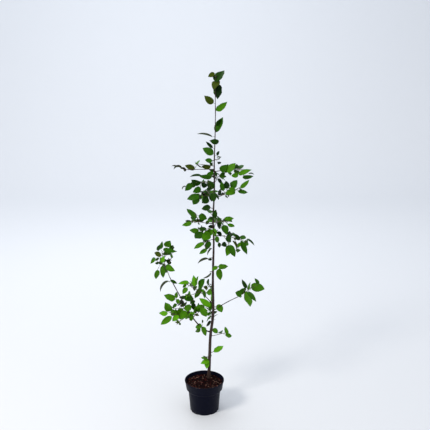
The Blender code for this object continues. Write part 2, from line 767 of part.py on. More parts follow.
def leaf_mesh(leaf):
    way, top = leaf["way"], leaf["top"]
    side = way.cross(top)
    length = leaf["length"]
    thick = max(length * LEAF_THICK, LEAF_THICK_LEAST)
    rings = []
    for share, size in ((0.0, 1.0), (STALK, 0.9)):
        spot = leaf["foot"] + way * share * length
        reach = STALK_R * size
        rings.append([spot - side * reach, spot + top * reach, spot + side * reach, spot - top * reach])
    for along, _ in LEAF_STATIONS:
        half = leaf_half(leaf, along)
        ring = [leaf_spot(leaf, along, -1, half), leaf_spot(leaf, along, 0, half) + top * thick / 2,
                leaf_spot(leaf, along, 1, half), leaf_spot(leaf, along, 0, half) - top * thick / 2]
        rings.append(ring)
    points = [spot for ring in rings for spot in ring]
    points.append(leaf_spot(leaf, 1.0, 0, 0))
    faces = [(0, 2, 1), (0, 3, 2)]
    for i in range(len(rings) - 1):
        a, b = i * 4, (i + 1) * 4
        for k in range(4):
            k2 = (k + 1) % 4
            faces += [(a + k, a + k2, b + k2), (a + k, b + k2, b + k)]
    last = (len(rings) - 1) * 4
    tip = len(points) - 1
    faces += [(last + k, last + (k + 1) % 4, tip) for k in range(4)]
    return points, faces


# Joins the pieces of a mass in one union and keeps its one outer shell
def fuse(name, pieces, solver, weld):
    group = bpy.data.collections.new(name + "_pieces")
    bpy.context.scene.collection.children.link(group)
    for n, (points, faces) in enumerate(pieces[1:]):
        piece = add_object(f"{name}_{n}", points, faces)
        bpy.context.scene.collection.objects.unlink(piece)
        group.objects.link(piece)
        tidy_mesh(piece)
    body = add_object(name, *pieces[0])
    tidy_mesh(body)
    if group.objects:
        join = body.modifiers.new("Join", "BOOLEAN")
        join.operation = "UNION"
        join.operand_type = "COLLECTION"
        join.solver = solver
        join.collection = group
        freeze(body)
    for piece in list(group.objects):
        bpy.data.objects.remove(piece, do_unlink=True)
    bpy.data.collections.remove(group)
    keep_shell(body, weld)
    return body


def keep_shell(body, weld):
    mesh = bmesh.new()
    mesh.from_mesh(body.data)
    if weld > 0:
        bmesh.ops.remove_doubles(mesh, verts=mesh.verts[:], dist=weld)
        bmesh.ops.dissolve_degenerate(mesh, edges=mesh.edges[:], dist=weld)
    bmesh.ops.triangulate(mesh, faces=mesh.faces[:])
    left = set(mesh.faces)
    shells = []
    while left:
        shell, front = set(), [left.pop()]
        while front:
            face = front.pop()
            shell.add(face)
            for edge in face.edges:
                for other in edge.link_faces:
                    if other in left:
                        left.remove(other)
                        front.append(other)
        shells.append(shell)
    shells.sort(key=lambda shell: sum(face.calc_area() for face in shell), reverse=True)
    loose = [face for shell in shells[1:] for face in shell]
    bmesh.ops.delete(mesh, geom=loose, context="FACES")
    bare = [vertex for vertex in mesh.verts if not vertex.link_faces]
    bmesh.ops.delete(mesh, geom=bare, context="VERTS")
    bmesh.ops.recalc_face_normals(mesh, faces=mesh.faces[:])
    mesh.to_mesh(body.data)
    mesh.free()


def is_closed(body):
    mesh = bmesh.new()
    mesh.from_mesh(body.data)
    good = all(len(edge.link_faces) == 2 for edge in mesh.edges) and mesh.calc_volume() > 0
    mesh.free()
    return good


def make_mass(mass):
    row = mass["row"]
    stem = mass["stem"]
    pieces = [tube(stem.points, stem.radii, STEM_SIDES)]
    pieces += [tube(twig.points, twig.radii, TWIG_SIDES) for twig, _ in mass["twigs"]]
    leaves = list(mass["leaves"])
    while True:
        for solver, weld in FUSE_WAYS:
            body = fuse(row["name"], pieces + [leaf_mesh(leaf) for leaf in leaves], solver, weld)
            if is_closed(body):
                paint(body, row["tint"], 0.55)
                return
            bpy.data.objects.remove(body, do_unlink=True)
            print("failed:", row["name"], solver, len(leaves))
        leaves.pop()


def make_limb(limb, sides, first_way=None):
    body = add_object(limb.name, *tube(limb.points, limb.radii, sides, first_way))
    tidy_mesh(body)
    for polygon in body.data.polygons:
        polygon.use_smooth = True
    paint(body, BARK, 0.8)


def plan_tree():
    limbs = {"trunk": trunk_line()}
    for row in BOUGHS:
        limbs[row["name"]] = bough_line(row, limbs["trunk"])
    masses = [plan_mass(row, limbs) for row in SPRAYS]
    others = dict(limbs=[], leaves=[])
    for limb in limbs.values():
        others["limbs"].append((*limb_samples(limb), limb.name))
    for mass in masses:
        for line in mass["lines"]:
            others["limbs"].append((*limb_samples(line), mass["row"]["name"]))
    for mass in sorted(masses, key=lambda mass: mass["row"]["leaves"]):
        grow_leaves(mass, others)
    return limbs, masses


def main():
    clear_scene()
    limbs, masses = plan_tree()
    make_pot()
    make_soil(limbs["trunk"].points[0])
    for name, limb in limbs.items():
        if name == "trunk":
            make_limb(limb, TRUNK_SIDES, UP)
        else:
            make_limb(limb, BOUGH_SIDES)
    for mass in masses:
        make_mass(mass)
        wanted = mass["row"]["leaves"] + 2 * mass["row"]["sides"]
        print(mass["row"]["name"], "leaves", len(mass["leaves"]), "of", wanted)


main()
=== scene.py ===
import math
import random

import bmesh
import bpy
import numpy as np
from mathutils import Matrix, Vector, noise


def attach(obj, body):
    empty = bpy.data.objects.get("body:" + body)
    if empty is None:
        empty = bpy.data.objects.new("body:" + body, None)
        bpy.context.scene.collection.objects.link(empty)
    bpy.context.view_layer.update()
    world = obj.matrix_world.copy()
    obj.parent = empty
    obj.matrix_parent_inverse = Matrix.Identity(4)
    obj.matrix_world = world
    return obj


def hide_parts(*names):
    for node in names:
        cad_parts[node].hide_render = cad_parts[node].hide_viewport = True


# Young hornbeam in a round nursery pot. Metres, +Z up, +X right and +Y away in the photo.
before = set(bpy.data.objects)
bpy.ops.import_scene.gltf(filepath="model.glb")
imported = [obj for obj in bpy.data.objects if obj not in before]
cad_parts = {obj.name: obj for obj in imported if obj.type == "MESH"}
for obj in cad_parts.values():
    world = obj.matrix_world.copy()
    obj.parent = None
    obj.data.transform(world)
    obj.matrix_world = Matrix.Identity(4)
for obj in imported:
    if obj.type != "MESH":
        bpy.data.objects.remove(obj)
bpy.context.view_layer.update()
mm = 0.001
gap = 0.3 * mm
up = Vector((0, 0, 1))
front = Vector((0, -1, 0))
print("solids:", len(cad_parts))


# sRGB hex to linear colour
def hexColour(code):
    found = []
    for k in (1, 3, 5):
        value = int(code[k:k + 2], 16) / 255
        found.append(value / 12.92 if value <= 0.04045 else ((value + 0.055) / 1.055) ** 2.4)
    return (*found, 1.0)


# Adds a node with its settings, and sets or links its inputs
def addNode(tree, kind, settings, inputs):
    node = tree.nodes.new(kind)
    for name, value in settings.items():
        setattr(node, name, value)
    for name, value in inputs.items():
        if isinstance(value, bpy.types.NodeSocket):
            tree.links.new(value, node.inputs[name])
        else:
            node.inputs[name].default_value = value
    return node


# A new material with its node tree and its shader
def newMaterial(name, roughness, ior, specular=0.5, tone=None):
    material = bpy.data.materials.new(name)
    material.use_nodes = True
    tree = material.node_tree
    shader = tree.nodes["Principled BSDF"]
    shader.inputs["Roughness"].default_value = roughness
    shader.inputs["IOR"].default_value = ior
    shader.inputs["Specular IOR Level"].default_value = specular
    if tone:
        shader.inputs["Base Color"].default_value = hexColour(tone)
    return material, tree, shader


# Nodes that several materials share
def objectCoords(tree):
    return addNode(tree, "ShaderNodeTexCoord", {}, {}).outputs["Object"]


def heightOf(tree, coords):
    return addNode(tree, "ShaderNodeSeparateXYZ", {}, {0: coords}).outputs["Z"]


def calculate(tree, operation, *values):
    return addNode(tree, "ShaderNodeMath", {"operation": operation}, dict(enumerate(values))).outputs[0]


def remap(tree, value, start, end, toStart=0.0, toEnd=1.0, **settings):
    inputs = {"Value": value, "From Min": start, "From Max": end, "To Min": toStart, "To Max": toEnd}
    return addNode(tree, "ShaderNodeMapRange", settings, inputs).outputs["Result"]


def speckle(tree, coords, scale, detail=2.0, roughness=0.5):
    inputs = {"Vector": coords, "Scale": scale, "Detail": detail, "Roughness": roughness}
    return addNode(tree, "ShaderNodeTexNoise", {}, inputs).outputs["Fac"]


def blend(tree, share, first, second):
    inputs = {0: share, 6: first, 7: second}
    return addNode(tree, "ShaderNodeMix", {"data_type": "RGBA"}, inputs).outputs[2]


# A plain tone, made a little darker and lighter in places
def mottle(tree, tone, coords, scale, low, high):
    shade = remap(tree, speckle(tree, coords, scale), 0.3, 0.7, low, high)
    inputs = {0: hexColour(tone)[:3], "Scale": shade}
    return addNode(tree, "ShaderNodeVectorMath", {"operation": "SCALE"}, inputs).outputs["Vector"]


def feed(shader, name, socket):
    shader.id_data.links.new(socket, shader.inputs[name])


def bumpFrom(tree, shader, height, strength, distance):
    inputs = {"Height": height, "Strength": strength, "Distance": distance}
    feed(shader, "Normal", addNode(tree, "ShaderNodeBump", {}, inputs).outputs["Normal"])


def addObject(name, data, place=(0, 0, 0)):
    item = bpy.data.objects.new(name, data)
    item.location = place
    bpy.context.scene.collection.objects.link(item)
    return item


def meshObject(name, points, faces):
    mesh = bpy.data.meshes.new(name)
    mesh.from_pydata(points, [], faces)
    mesh.update()
    return addObject(name, mesh)


def editMode(item):
    pickOnly(item)
    bpy.ops.object.mode_set(mode="EDIT")


def pickOnly(item):
    bpy.ops.object.select_all(action="DESELECT")
    item.select_set(True)
    bpy.context.view_layer.objects.active = item


# Enters edit mode with those edges selected that pass the test
def selectEdges(item, wanted):
    editMode(item)
    bpy.ops.mesh.select_mode(type="EDGE")
    bpy.ops.mesh.select_all(action="DESELECT")
    mesh = bmesh.from_edit_mesh(item.data)
    for edge in mesh.edges:
        edge.select = wanted(edge)
    bmesh.update_edit_mesh(item.data)


# Extrudes the open rim from ring to ring, each a radius and a height, and closes the last one
def raiseRim(item, rings):
    selectEdges(item, lambda edge: edge.is_boundary)
    for (fromRadius, fromHeight), (radius, height) in zip(rings, rings[1:]):
        bpy.ops.mesh.extrude_region_move(TRANSFORM_OT_translate={"value": (0, 0, height - fromHeight)})
        share = radius / fromRadius
        bpy.ops.transform.resize(value=(share, share, 1), center_override=(0, 0, height))
    bpy.ops.mesh.edge_face_add()


# Leaves edit mode with doubled points merged and the faces outwards
def closeMesh():
    bpy.ops.mesh.select_all(action="SELECT")
    bpy.ops.mesh.remove_doubles(threshold=0.00001)
    bpy.ops.mesh.normals_make_consistent(inside=False)
    bpy.ops.object.mode_set(mode="OBJECT")


# Gives an object its materials, faces it outwards and breaks its shading at sharp edges only
def dress(item, materials, angle):
    item.data.materials.clear()
    for material in materials:
        item.data.materials.append(material)
    mesh = bmesh.new()
    mesh.from_mesh(item.data)
    bmesh.ops.recalc_face_normals(mesh, faces=mesh.faces[:])
    mesh.to_mesh(item.data)
    mesh.free()
    pickOnly(item)
    bpy.ops.object.shade_smooth_by_angle(angle=math.radians(angle))


# Makes a piece ride on the body and stand for its nodes, whose solids it hides
def finishPiece(piece, nodes=()):
    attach(piece, "root")
    if nodes:
        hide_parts(*nodes)
    print("piece", piece.name, len(piece.data.polygons), "faces")


# Camera at the photo's viewing angle
cameraSetup = {
    "place": (0.0428, -2.216, 1.285),
    "pitch": 12.2,  # degrees down from level
    "lens": 50,
    "sensor": 36,
}


def addCamera():
    camera = bpy.data.cameras.new("camera")
    camera.lens = cameraSetup["lens"]
    camera.sensor_width = cameraSetup["sensor"]
    holder = addObject("camera", camera, cameraSetup["place"])
    holder.rotation_euler = (math.radians(90 - cameraSetup["pitch"]), 0, 0)
    bpy.context.scene.camera = holder


studio = {
    "air": "#f3f5fa",
    "airStrength": 0.86,
    "lights": (  # name, place, aim, size, power, tone
        ("key", (-1.9, -1.7, 2.7), (0.0, 0.0, 0.75), 0.9, 60, "#fff6ea"),
        ("fill", (2.3, -1.9, 1.6), (0.0, 0.0, 0.6), 1.8, 4, "#eef4ff"),
        ("back", (-0.8, 2.2, 2.4), (0.0, 0.0, 0.8), 1.6, 8, "#ffffff"),
        ("sweep", (-1.0, 1.8, 4.6), (-0.6, 7.0, 1.6), 2.4, 110, "#fbfcff"),
    ),
    "floorSize": (40, 30),
    "floorBack": 4.5,  # where the floor starts to sweep up behind
    "sweepR": 2.5,
    "sweepHigh": 3.0,
    "sweepSteps": 12,
    "smooth": 30,  # degrees: a sharper edge than this is not shaded smooth, here and in the other pieces
    "floor": "#dfe3e8",
}


def addLights():
    for name, place, aim, size, power, tone in studio["lights"]:
        light = bpy.data.lights.new(name + "Softbox", "AREA")
        light.shape = "DISK"
        light.size = size
        light.energy = power
        light.color = hexColour(tone)[:3]
        way = Vector(aim) - Vector(place)
        addObject(light.name, light, place).rotation_euler = way.to_track_quat("-Z", "Y").to_euler()


# A floor that sweeps up behind in one curve, so that no line crosses the photo's view
def addFloor():
    wide, deep = studio["floorSize"]
    bpy.ops.mesh.primitive_plane_add(size=1, location=(0, studio["floorBack"] - deep / 2, 0))
    bpy.ops.transform.resize(value=(wide, deep, 1))
    floor = bpy.context.object
    floor.name = "floor"
    bpy.ops.object.transform_apply(location=True, rotation=True, scale=True)
    back = studio["floorBack"] - 0.01  # just in front of the back edge
    selectEdges(floor, lambda edge: all(vertex.co.y > back for vertex in edge.verts))
    angle = math.pi / 2 / studio["sweepSteps"]
    step = 2 * studio["sweepR"] * math.sin(angle / 2)
    for k in range(studio["sweepSteps"]):
        rise = (k + 0.5) * angle
        move = (0, step * math.cos(rise), step * math.sin(rise))
        bpy.ops.mesh.extrude_region_move(TRANSFORM_OT_translate={"value": move})
    bpy.ops.mesh.extrude_region_move(TRANSFORM_OT_translate={"value": (0, 0, studio["sweepHigh"])})
    bpy.ops.object.mode_set(mode="OBJECT")
    # Matt, pale and slightly blue
    vinyl = newMaterial("paleVinylFloor", roughness=0.6, ior=1.5, specular=0.3, tone=studio["floor"])[0]
    dress(floor, [vinyl], studio["smooth"])


def addStudio():
    bpy.context.scene.view_settings.view_transform = "Standard"
    world = bpy.data.worlds.new("paleAir")
    world.use_nodes = True
    background = world.node_tree.nodes["Background"]
    background.inputs["Color"].default_value = hexColour(studio["air"])
    background.inputs["Strength"].default_value = studio["airStrength"]
    bpy.context.scene.world = world
    addLights()
    addFloor()


bpy.ops.object.select_all(action="DESELECT")
addCamera()
addStudio()
print("camera, lights and floor")

# Growth rule, the same as in the solids. The trunk's line: x, y and height in mm
trunkBends = (
    (17.3, 40, 113),
    (21.5, 40, 227),
    (24.5, 39, 300),
    (35.0, 38, 389),
    (34.5, 37, 545),
    (38.0, 38, 700),
    (35.5, 40, 770),
    (40.3, 41, 900),
    (40.0, 40, 1000),
    (43.0, 40, 1100),
    (44.5, 41, 1200),
    (43.2, 41, 1257),
    (48.0, 40, 1335),
)
trunkSizes = {
    "footZ": 113 * mm + gap,
    "tipZ": 1020 * mm,
    "footR": 6.6 * mm,
    "tipR": 2.3 * mm,
    "leaderTipR": 0.9 * mm,
    "flareR": 3.2 * mm,
    "flareHigh": 11 * mm,
    "flareSteps": (0, 3, 7, 13, 22, 36),
    "step": 30 * mm,
}
limbRule = {
    "boughStep": 20 * mm,
    "boughCollar": 1.6,
    "stemCollar": 3.2,
    "stemR": 1.25 * mm,
    "stemTipR": 0.75 * mm,
    "stemJitter": 3,
    "stemEnd": 2.5 * mm,
    "leaderEnd": 3 * mm,
    "twigR": 0.95 * mm,
    "twigTipR": 0.7 * mm,
    "twigAlong": 0.65,
    "twigAcross": 0.76,
    "twigLengths": (0.75, 1.0),
    "twigBend": 0.12,
    "twigEnd": 2 * mm,
    "firstTwig": 0.35,
    "spareTwigs": 0.6,
    "zigzag": 9,
}
leafRule = {
    "stalk": 0.14,
    "stations": ((0.12, 0.60), (0.42, 1.0), (0.76, 0.62)),
    "open": 56,
    "openTip": 18,
    "fold": 0.26,
    "curl": 0.10,
    "jitter": 18,
    "tries": 14,
    "strictTries": 10,
    "turn": 32,
    "sizes": (0.8, 1.14),
    "widthSpread": (0.9, 1.1),
    "foldSpread": (0.4, 1.4),
    "curlSpread": (0.2, 2.0),
    "footWide": 0.06,
    "nearNothing": 0.2,
    "leafClear": 5.0 * mm,
    "limbClear": 2.2 * mm,
    "ownLeafClear": 3.0 * mm,
    "ownStemClear": 2.0 * mm,
    "checkAlong": 12,
    "checkAcross": 7,
    "checkStep": 3 * mm,
    "reach": 1.35,
}


def bough(name, height, azimuth, rise, riseTip, length, radius, tipRadius, turn=1.0):
    return dict(name="bough_" + name, height=height * mm, azimuth=azimuth, rise=rise, riseTip=riseTip,
                length=length * mm, radius=radius * mm, tipRadius=tipRadius * mm, turn=turn)


def spray(name, carrier, place, azimuth, rise, bend, length, leaves, leaf, **more):
    row = dict(roll=35, hang=20, sides=0, broad=0.56, bare=0.22, tint="mid", seed=1)
    row.update(more)
    row.update(name="leaves_" + name, carrier=carrier, place=place, azimuth=azimuth, rise=rise, bend=bend,
               length=length * mm, leaves=leaves, leaf=leaf * mm)
    return row


# name, height, heading and rise in degrees, rise at the tip, length, radius at foot and tip, and how early
# the rise changes
boughRows = (
    bough("low_left", 317, 192, 26, 64, 284, 2.7, 1.7, 4.5),
    bough("low_right", 413, -10, 38, 28, 98, 2.0, 1.4),
    bough("inner_left", 441, 189, 54, 48, 34, 2.0, 1.5),
    bough("mid_right", 716, -12, 2, -2, 16, 2.0, 1.5),
    bough("mid_left", 764, 187, 8, 4, 18, 2.0, 1.5),
    bough("right", 868, -11, 10, 16, 14, 1.9, 1.4),
    bough("upper_left", 925, 189, 4, 4, 16, 1.8, 1.4),
    bough("upper_right", 967, -8, 10, 8, 14, 1.8, 1.4),
    bough("top_left", 975, 177, 0, -3, 104, 1.6, 1.1),
    bough("back_mid", 735, 82, 25, 18, 34, 2.0, 1.5),
    bough("back_upper", 850, 108, 26, 18, 30, 1.8, 1.4),
)

# Leaves of the leading shoot: height, degrees from upright (right is positive), length, width share
leaderLeaves = (
    (1026, 48, 27, 0.55),
    (1036, -60, 50, 0.62),
    (1052, -40, 36, 0.5),
    (1078, -80, 38, 0.6),
    (1099, -76, 58, 0.2),
    (1124, 150, 36, 0.56),
    (1140, 22, 50, 0.56),
    (1190, 54, 58, 0.5),
    (1220, -56, 46, 0.56),
    (1284, 168, 58, 0.52),
    (1294, -120, 38, 0.6),
    (1304, 34, 54, 0.6),
    (1316, -104, 36, 0.5),
)

# name, carrier, place (height on the trunk, share of a bough), heading, rise, bend, length,
# leaves, leaf length, then what differs from the usual. A tint of bright paints a spray's leaves as lit, a
# tint of dark paints them as shaded
sprayRows = (
    spray("leader", "trunk", 0, 0, 90, 0, 0, 13, 50, roll=84, hang=0, seed=8),
    spray("low_left_tuft", "trunk", 206, 206, 5, -10, 12, 3, 36, hang=45, tint="bright", seed=6),
    spray("low_right_leaf", "trunk", 226, 8, 40, 0, 24, 1, 46, roll=60, hang=-10, tint="bright", seed=10),
    spray("low_right_tuft", "trunk", 300, -4, 24, -10, 52, 3, 40, hang=10, bare=0.7, seed=8),
    spray("low_front_pair", "trunk", 326, -44, 30, 0, 18, 1, 42, roll=70, tint="bright", seed=1),
    spray("low_left_foot", "bough_low_left", 0.12, 250, 30, -10, 16, 3, 44, roll=80, hang=10, seed=9),
    spray("low_left_outer", "bough_low_left", 0.32, 195, 34, -24, 84, 8, 54, sides=1, roll=60,
          bare=0.1, hang=-16, tint="bright", seed=9),
    spray("low_left_inner", "bough_low_left", 0.34, -30, 50, -10, 34, 4, 54, roll=60, hang=-10,
          tint="bright", seed=14),
    spray("low_left_upper", "bough_low_left", 0.42, 160, 50, -10, 58, 8, 46, sides=1, roll=65,
          hang=-18, tint="dark", seed=6),
    spray("low_left_curled", "bough_low_left", 0.97, 250, 0, -10, 14, 2, 42, broad=0.32, roll=70, seed=1),
    spray("low_left_tip", "bough_low_left", 1.0, 194, 67, 12, 104, 8, 44, sides=3, roll=60, hang=0,
          seed=12),
    spray("inner_left", "bough_inner_left", 1.0, 189, 46, -20, 92, 8, 46, sides=1, roll=55, hang=5,
          bare=0.06, tint="bright", seed=7),
    spray("inner_left_leaf", "trunk", 447, 214, 26, 0, 12, 1, 60, roll=60, hang=8, tint="bright", seed=1),
    spray("low_right", "bough_low_right", 1.0, -10, 32, 10, 72, 6, 52, roll=55, hang=22, bare=0.1,
          tint="bright", seed=4),
    spray("low_right_foot", "trunk", 424, -38, 14, 0, 12, 1, 42, roll=70, hang=15, tint="bright", seed=1),
    spray("bare_left", "trunk", 570, 188, -4, -20, 10, 1, 38, broad=0.3, seed=9),
    spray("bare_left_upper", "trunk", 626, 190, 0, -20, 20, 2, 42, broad=0.3, hang=5, seed=12),
    spray("bare_right", "trunk", 592, -24, 18, -20, 20, 3, 50, roll=55, hang=40, seed=10),
    spray("mid_left_low", "trunk", 700, 197, -8, -22, 46, 5, 50, hang=40, seed=7),
    spray("mid_left_lower", "trunk", 746, 200, -4, -12, 48, 6, 58, roll=50, hang=15, seed=9),
    spray("mid_left", "bough_mid_left", 1.0, 187, 10, -4, 60, 5, 46, roll=70, sides=1, hang=-12, seed=14),
    spray("mid_left_upper", "trunk", 824, 195, 18, 0, 12, 1, 42, roll=60, hang=5, seed=1),
    spray("mid_left_high", "trunk", 872, 192, 6, -12, 50, 5, 50, roll=50, seed=5),
    spray("upper_left", "bough_upper_left", 1.0, 189, 4, -16, 62, 6, 46, roll=45, hang=28, bare=0.05,
          seed=1),
    spray("upper_left_thin", "trunk", 950, 168, 2, -8, 28, 2, 56, broad=0.36, roll=60, hang=0, seed=7),
    spray("top_left", "bough_top_left", 1.0, 177, 20, 30, 26, 3, 26, broad=0.3, roll=60, seed=1),
    spray("top_left_upper", "trunk", 988, 160, 4, -4, 72, 3, 42, roll=70, bare=0.35, hang=0, seed=5),
    spray("top_left_leaf", "trunk", 1009, 205, 14, 0, 6, 1, 32, roll=60, hang=5, seed=13),
    spray("top_right", "trunk", 1012, -20, 8, 0, 13, 3, 26, roll=60, hang=5, seed=9),
    spray("upper_right", "bough_upper_right", 1.0, -8, 10, -14, 94, 8, 46, roll=50, hang=5, bare=0.02,
          seed=6),
    spray("right", "bough_right", 1.0, -11, 26, 0, 82, 7, 50, roll=55, hang=0, bare=0.02, seed=7),
    spray("mid_right_front", "trunk", 786, -68, 40, 0, 14, 1, 56, roll=80, seed=6),
    spray("mid_right_upper", "trunk", 768, -16, 16, -14, 46, 5, 48, roll=50, hang=25, seed=3),
    spray("mid_right", "bough_mid_right", 1.0, -12, 2, -22, 98, 8, 50, sides=2, roll=45, hang=18,
          bare=0.02, seed=2),
    spray("back_low", "trunk", 345, 95, 38, -10, 62, 5, 42, seed=2),
    spray("back_inner", "trunk", 476, 112, 42, -14, 50, 4, 40, seed=3),
    spray("back_mid", "bough_back_mid", 1.0, 82, 18, -12, 74, 7, 46, sides=1, seed=4),
    spray("back_upper", "bough_back_upper", 1.0, 108, 18, -12, 68, 7, 44, sides=1, seed=5),
    spray("back_top", "trunk", 925, 72, 26, -14, 66, 6, 42, seed=6),
    spray("front_mid", "trunk", 733, -88, 14, -18, 36, 3, 44, roll=10, hang=35, tint="dark", seed=3),
    spray("front_upper", "trunk", 893, -96, 12, -18, 36, 3, 42, roll=10, hang=35, tint="dark", seed=4),
)


# A limb is a line of points with a radius at each
class Limb:
    def __init__(self, name, points, radii):
        self.name = name
        self.points = points
        self.radii = radii

    def atShare(self, share):
        steps = [(b - a).length for a, b in zip(self.points, self.points[1:])]
        left = share * sum(steps)
        for i, step in enumerate(steps):
            if left <= step or i == len(steps) - 1:
                return self.between(i, min(left / step, 1.0))
            left -= step

    def atHeight(self, z):
        for i in range(len(self.points) - 1):
            low, high = self.points[i].z, self.points[i + 1].z
            if low <= z <= high:
                return self.between(i, (z - low) / (high - low))

    def between(self, i, share):
        a, b = self.points[i], self.points[i + 1]
        radius = self.radii[i] + (self.radii[i + 1] - self.radii[i]) * share
        return a.lerp(b, share), (b - a).normalized(), radius


def smoothBend(z):
    rows = trunkBends
    k = 0
    while k < len(rows) - 2 and rows[k + 1][2] * mm < z:
        k += 1
    a, b = rows[k], rows[k + 1]
    before = rows[max(k - 1, 0)]
    after = rows[min(k + 2, len(rows) - 1)]
    t = (z / mm - a[2]) / (b[2] - a[2])
    found = []
    for axis in (0, 1):
        slopeA = (b[axis] - before[axis]) / (b[2] - before[2]) * (b[2] - a[2])
        slopeB = (after[axis] - a[axis]) / (after[2] - a[2]) * (b[2] - a[2])
        h1 = 2 * t**3 - 3 * t**2 + 1
        h2 = t**3 - 2 * t**2 + t
        h3 = -2 * t**3 + 3 * t**2
        h4 = t**3 - t**2
        found.append(h1 * a[axis] + h2 * slopeA + h3 * b[axis] + h4 * slopeB)
    return Vector((found[0] * mm, found[1] * mm, z))


def trunkRadius(z):
    t = trunkSizes
    share = (z - t["footZ"]) / (t["tipZ"] - t["footZ"])
    flare = t["flareR"] * math.exp(-(z - t["footZ"]) / t["flareHigh"])
    return t["footR"] + (t["tipR"] - t["footR"]) * share + flare


def trunkLine():
    t = trunkSizes
    heights = [t["footZ"] + step * mm for step in t["flareSteps"]]
    steps = round((t["tipZ"] - heights[-1]) / t["step"])
    first = heights[-1]
    heights += [first + (t["tipZ"] - first) * (i + 1) / steps for i in range(steps)]
    return Limb("trunk", [smoothBend(z) for z in heights], [trunkRadius(z) for z in heights])


def heading(azimuth, rise):
    a, r = math.radians(azimuth), math.radians(rise)
    return Vector((math.cos(a) * math.cos(r), math.sin(a) * math.cos(r), math.sin(r)))


# Where a limb leaves its carrier: the foot, and the way out
def footOn(carrier, place, azimuth):
    if carrier.name == "trunk":
        spot, along, thick = carrier.atHeight(place * mm)
    else:
        spot, along, thick = carrier.atShare(place)
    if place == 1.0:
        return spot + along * gap, along
    out = heading(azimuth, 0)
    out = (out - along * out.dot(along)).normalized()
    return spot + out * (thick + gap), out


def taper(first, last, count):
    return [first + (last - first) * i / (count - 1) for i in range(count)]


def boughLine(row, trunk):
    foot, out = footOn(trunk, row["height"] / mm, row["azimuth"])
    spot = foot + out * row["radius"] * limbRule["boughCollar"]
    points = [foot, spot]
    steps = max(3, round(row["length"] / limbRule["boughStep"]))
    for i in range(steps):
        left = (1 - (i + 0.5) / steps) ** row["turn"]
        rise = row["riseTip"] + (row["rise"] - row["riseTip"]) * left
        spot = spot + heading(row["azimuth"], rise) * (row["length"] / steps)
        points.append(spot)
    return Limb(row["name"], points, taper(row["radius"], row["tipRadius"], steps + 2))


# The stem of a mass: a zigzag from its foot
def stemLine(row, carrier, rng):
    radius = min(limbRule["stemR"], carrier.radii[-1]) if row["place"] == 1.0 else limbRule["stemR"]
    foot, out = footOn(carrier, row["place"], row["azimuth"])
    points = [foot, foot + out * radius * limbRule["stemCollar"]]
    count = row["leaves"] + row["sides"]
    gapShare = (1 - row["bare"]) / max(count - 0.5, 0.5)
    done = 0.0
    spot = points[-1]
    for i in range(count):
        share = row["bare"] + gapShare * i
        turn = limbRule["zigzag"] * (1 if i % 2 else -1) + rng.uniform(-1, 1) * limbRule["stemJitter"]
        rise = row["rise"] + row["bend"] * share + rng.uniform(-1, 1) * limbRule["stemJitter"]
        spot = spot + heading(row["azimuth"] + turn, rise) * (share - done) * row["length"]
        points.append(spot)
        done = share
    last = heading(row["azimuth"], row["rise"] + row["bend"])
    points.append(spot + last * limbRule["stemEnd"])
    return Limb(row["name"], points, taper(radius, limbRule["stemTipR"], len(points)))


def leaderLine(row):
    tip = smoothBend(trunkSizes["tipZ"])
    points = [tip + up * gap]
    points += [smoothBend(leaf[0] * mm) for leaf in leaderLeaves]
    points.append(points[-1] + up * limbRule["leaderEnd"])
    return Limb(row["name"], points, taper(trunkSizes["tipR"], trunkSizes["leaderTipR"], len(points)))


# The upper side of a spray: up, rolled towards the front
def sprayNormal(along, roll):
    side = along.cross(up)
    if side.length < leafRule["nearNothing"]:
        side = front - along * front.dot(along)
    if side.dot(front) < 0:
        side = -side
    side.normalize()
    top = along.cross(side)
    if top.z < 0:
        top = -top
    turn = math.radians(roll)
    return (top * math.cos(turn) + side * math.sin(turn)).normalized()


# One leaf: its foot, the way it points, its upper side, length, width, fold and curl
def tryLeaf(row, foot, along, normal, side, spread, size, broad, rng):
    openBy = math.radians(spread + rng.uniform(-1, 1) * leafRule["jitter"])
    across = along.cross(normal) * side
    way = along * math.cos(openBy) + across * math.sin(openBy)
    hang = math.radians(row["hang"] + rng.uniform(-1, 1) * leafRule["jitter"])
    way = (way * math.cos(hang) - up * math.sin(hang)).normalized()
    top = normal - way * normal.dot(way)
    if top.length < leafRule["nearNothing"]:
        top = along - way * along.dot(way)
    top.normalize()
    tipOver = math.radians(rng.uniform(-1, 1) * leafRule["turn"])
    top = (top * math.cos(tipOver) + way.cross(top) * math.sin(tipOver)).normalized()
    width = size * broad * rng.uniform(*leafRule["widthSpread"])
    fold = leafRule["fold"] * rng.uniform(*leafRule["foldSpread"])
    curl = leafRule["curl"] * rng.uniform(*leafRule["curlSpread"])
    return dict(foot=foot, along=along, way=way, top=top, length=size, width=width, fold=fold, curl=curl)


def leafSpot(leaf, along, across, half):
    way, top = leaf["way"], leaf["top"]
    side = way.cross(top)
    start = leaf["foot"] + way * leafRule["stalk"] * leaf["length"]
    blade = leaf["length"] * (1 - leafRule["stalk"])
    spot = start + way * (along * blade) - top * (leaf["curl"] * blade * along**2)
    return spot + side * (across * half) + top * (abs(across) * half * leaf["fold"])


def leafSamples(leaf):
    shares = (0.0,) + tuple(s for s, _ in leafRule["stations"]) + (1.0,)
    widths = (leafRule["footWide"],) + tuple(w for _, w in leafRule["stations"]) + (0.0,)
    found = []
    for i in range(leafRule["checkAlong"]):
        along = i / (leafRule["checkAlong"] - 1)
        half = float(np.interp(along, shares, widths)) * leaf["width"] / 2
        for k in range(leafRule["checkAcross"]):
            across = 2 * k / (leafRule["checkAcross"] - 1) - 1
            found.append(leafSpot(leaf, along, across, half)[:])
    return np.array(found)


def limbSamples(limb):
    found, radii = [], []
    for i in range(len(limb.points) - 1):
        a, b = limb.points[i], limb.points[i + 1]
        steps = max(1, round((b - a).length / leafRule["checkStep"]))
        for k in range(steps + 1):
            found.append(a.lerp(b, k / steps)[:])
            radii.append(limb.radii[i])
    return np.array(found), np.array(radii)


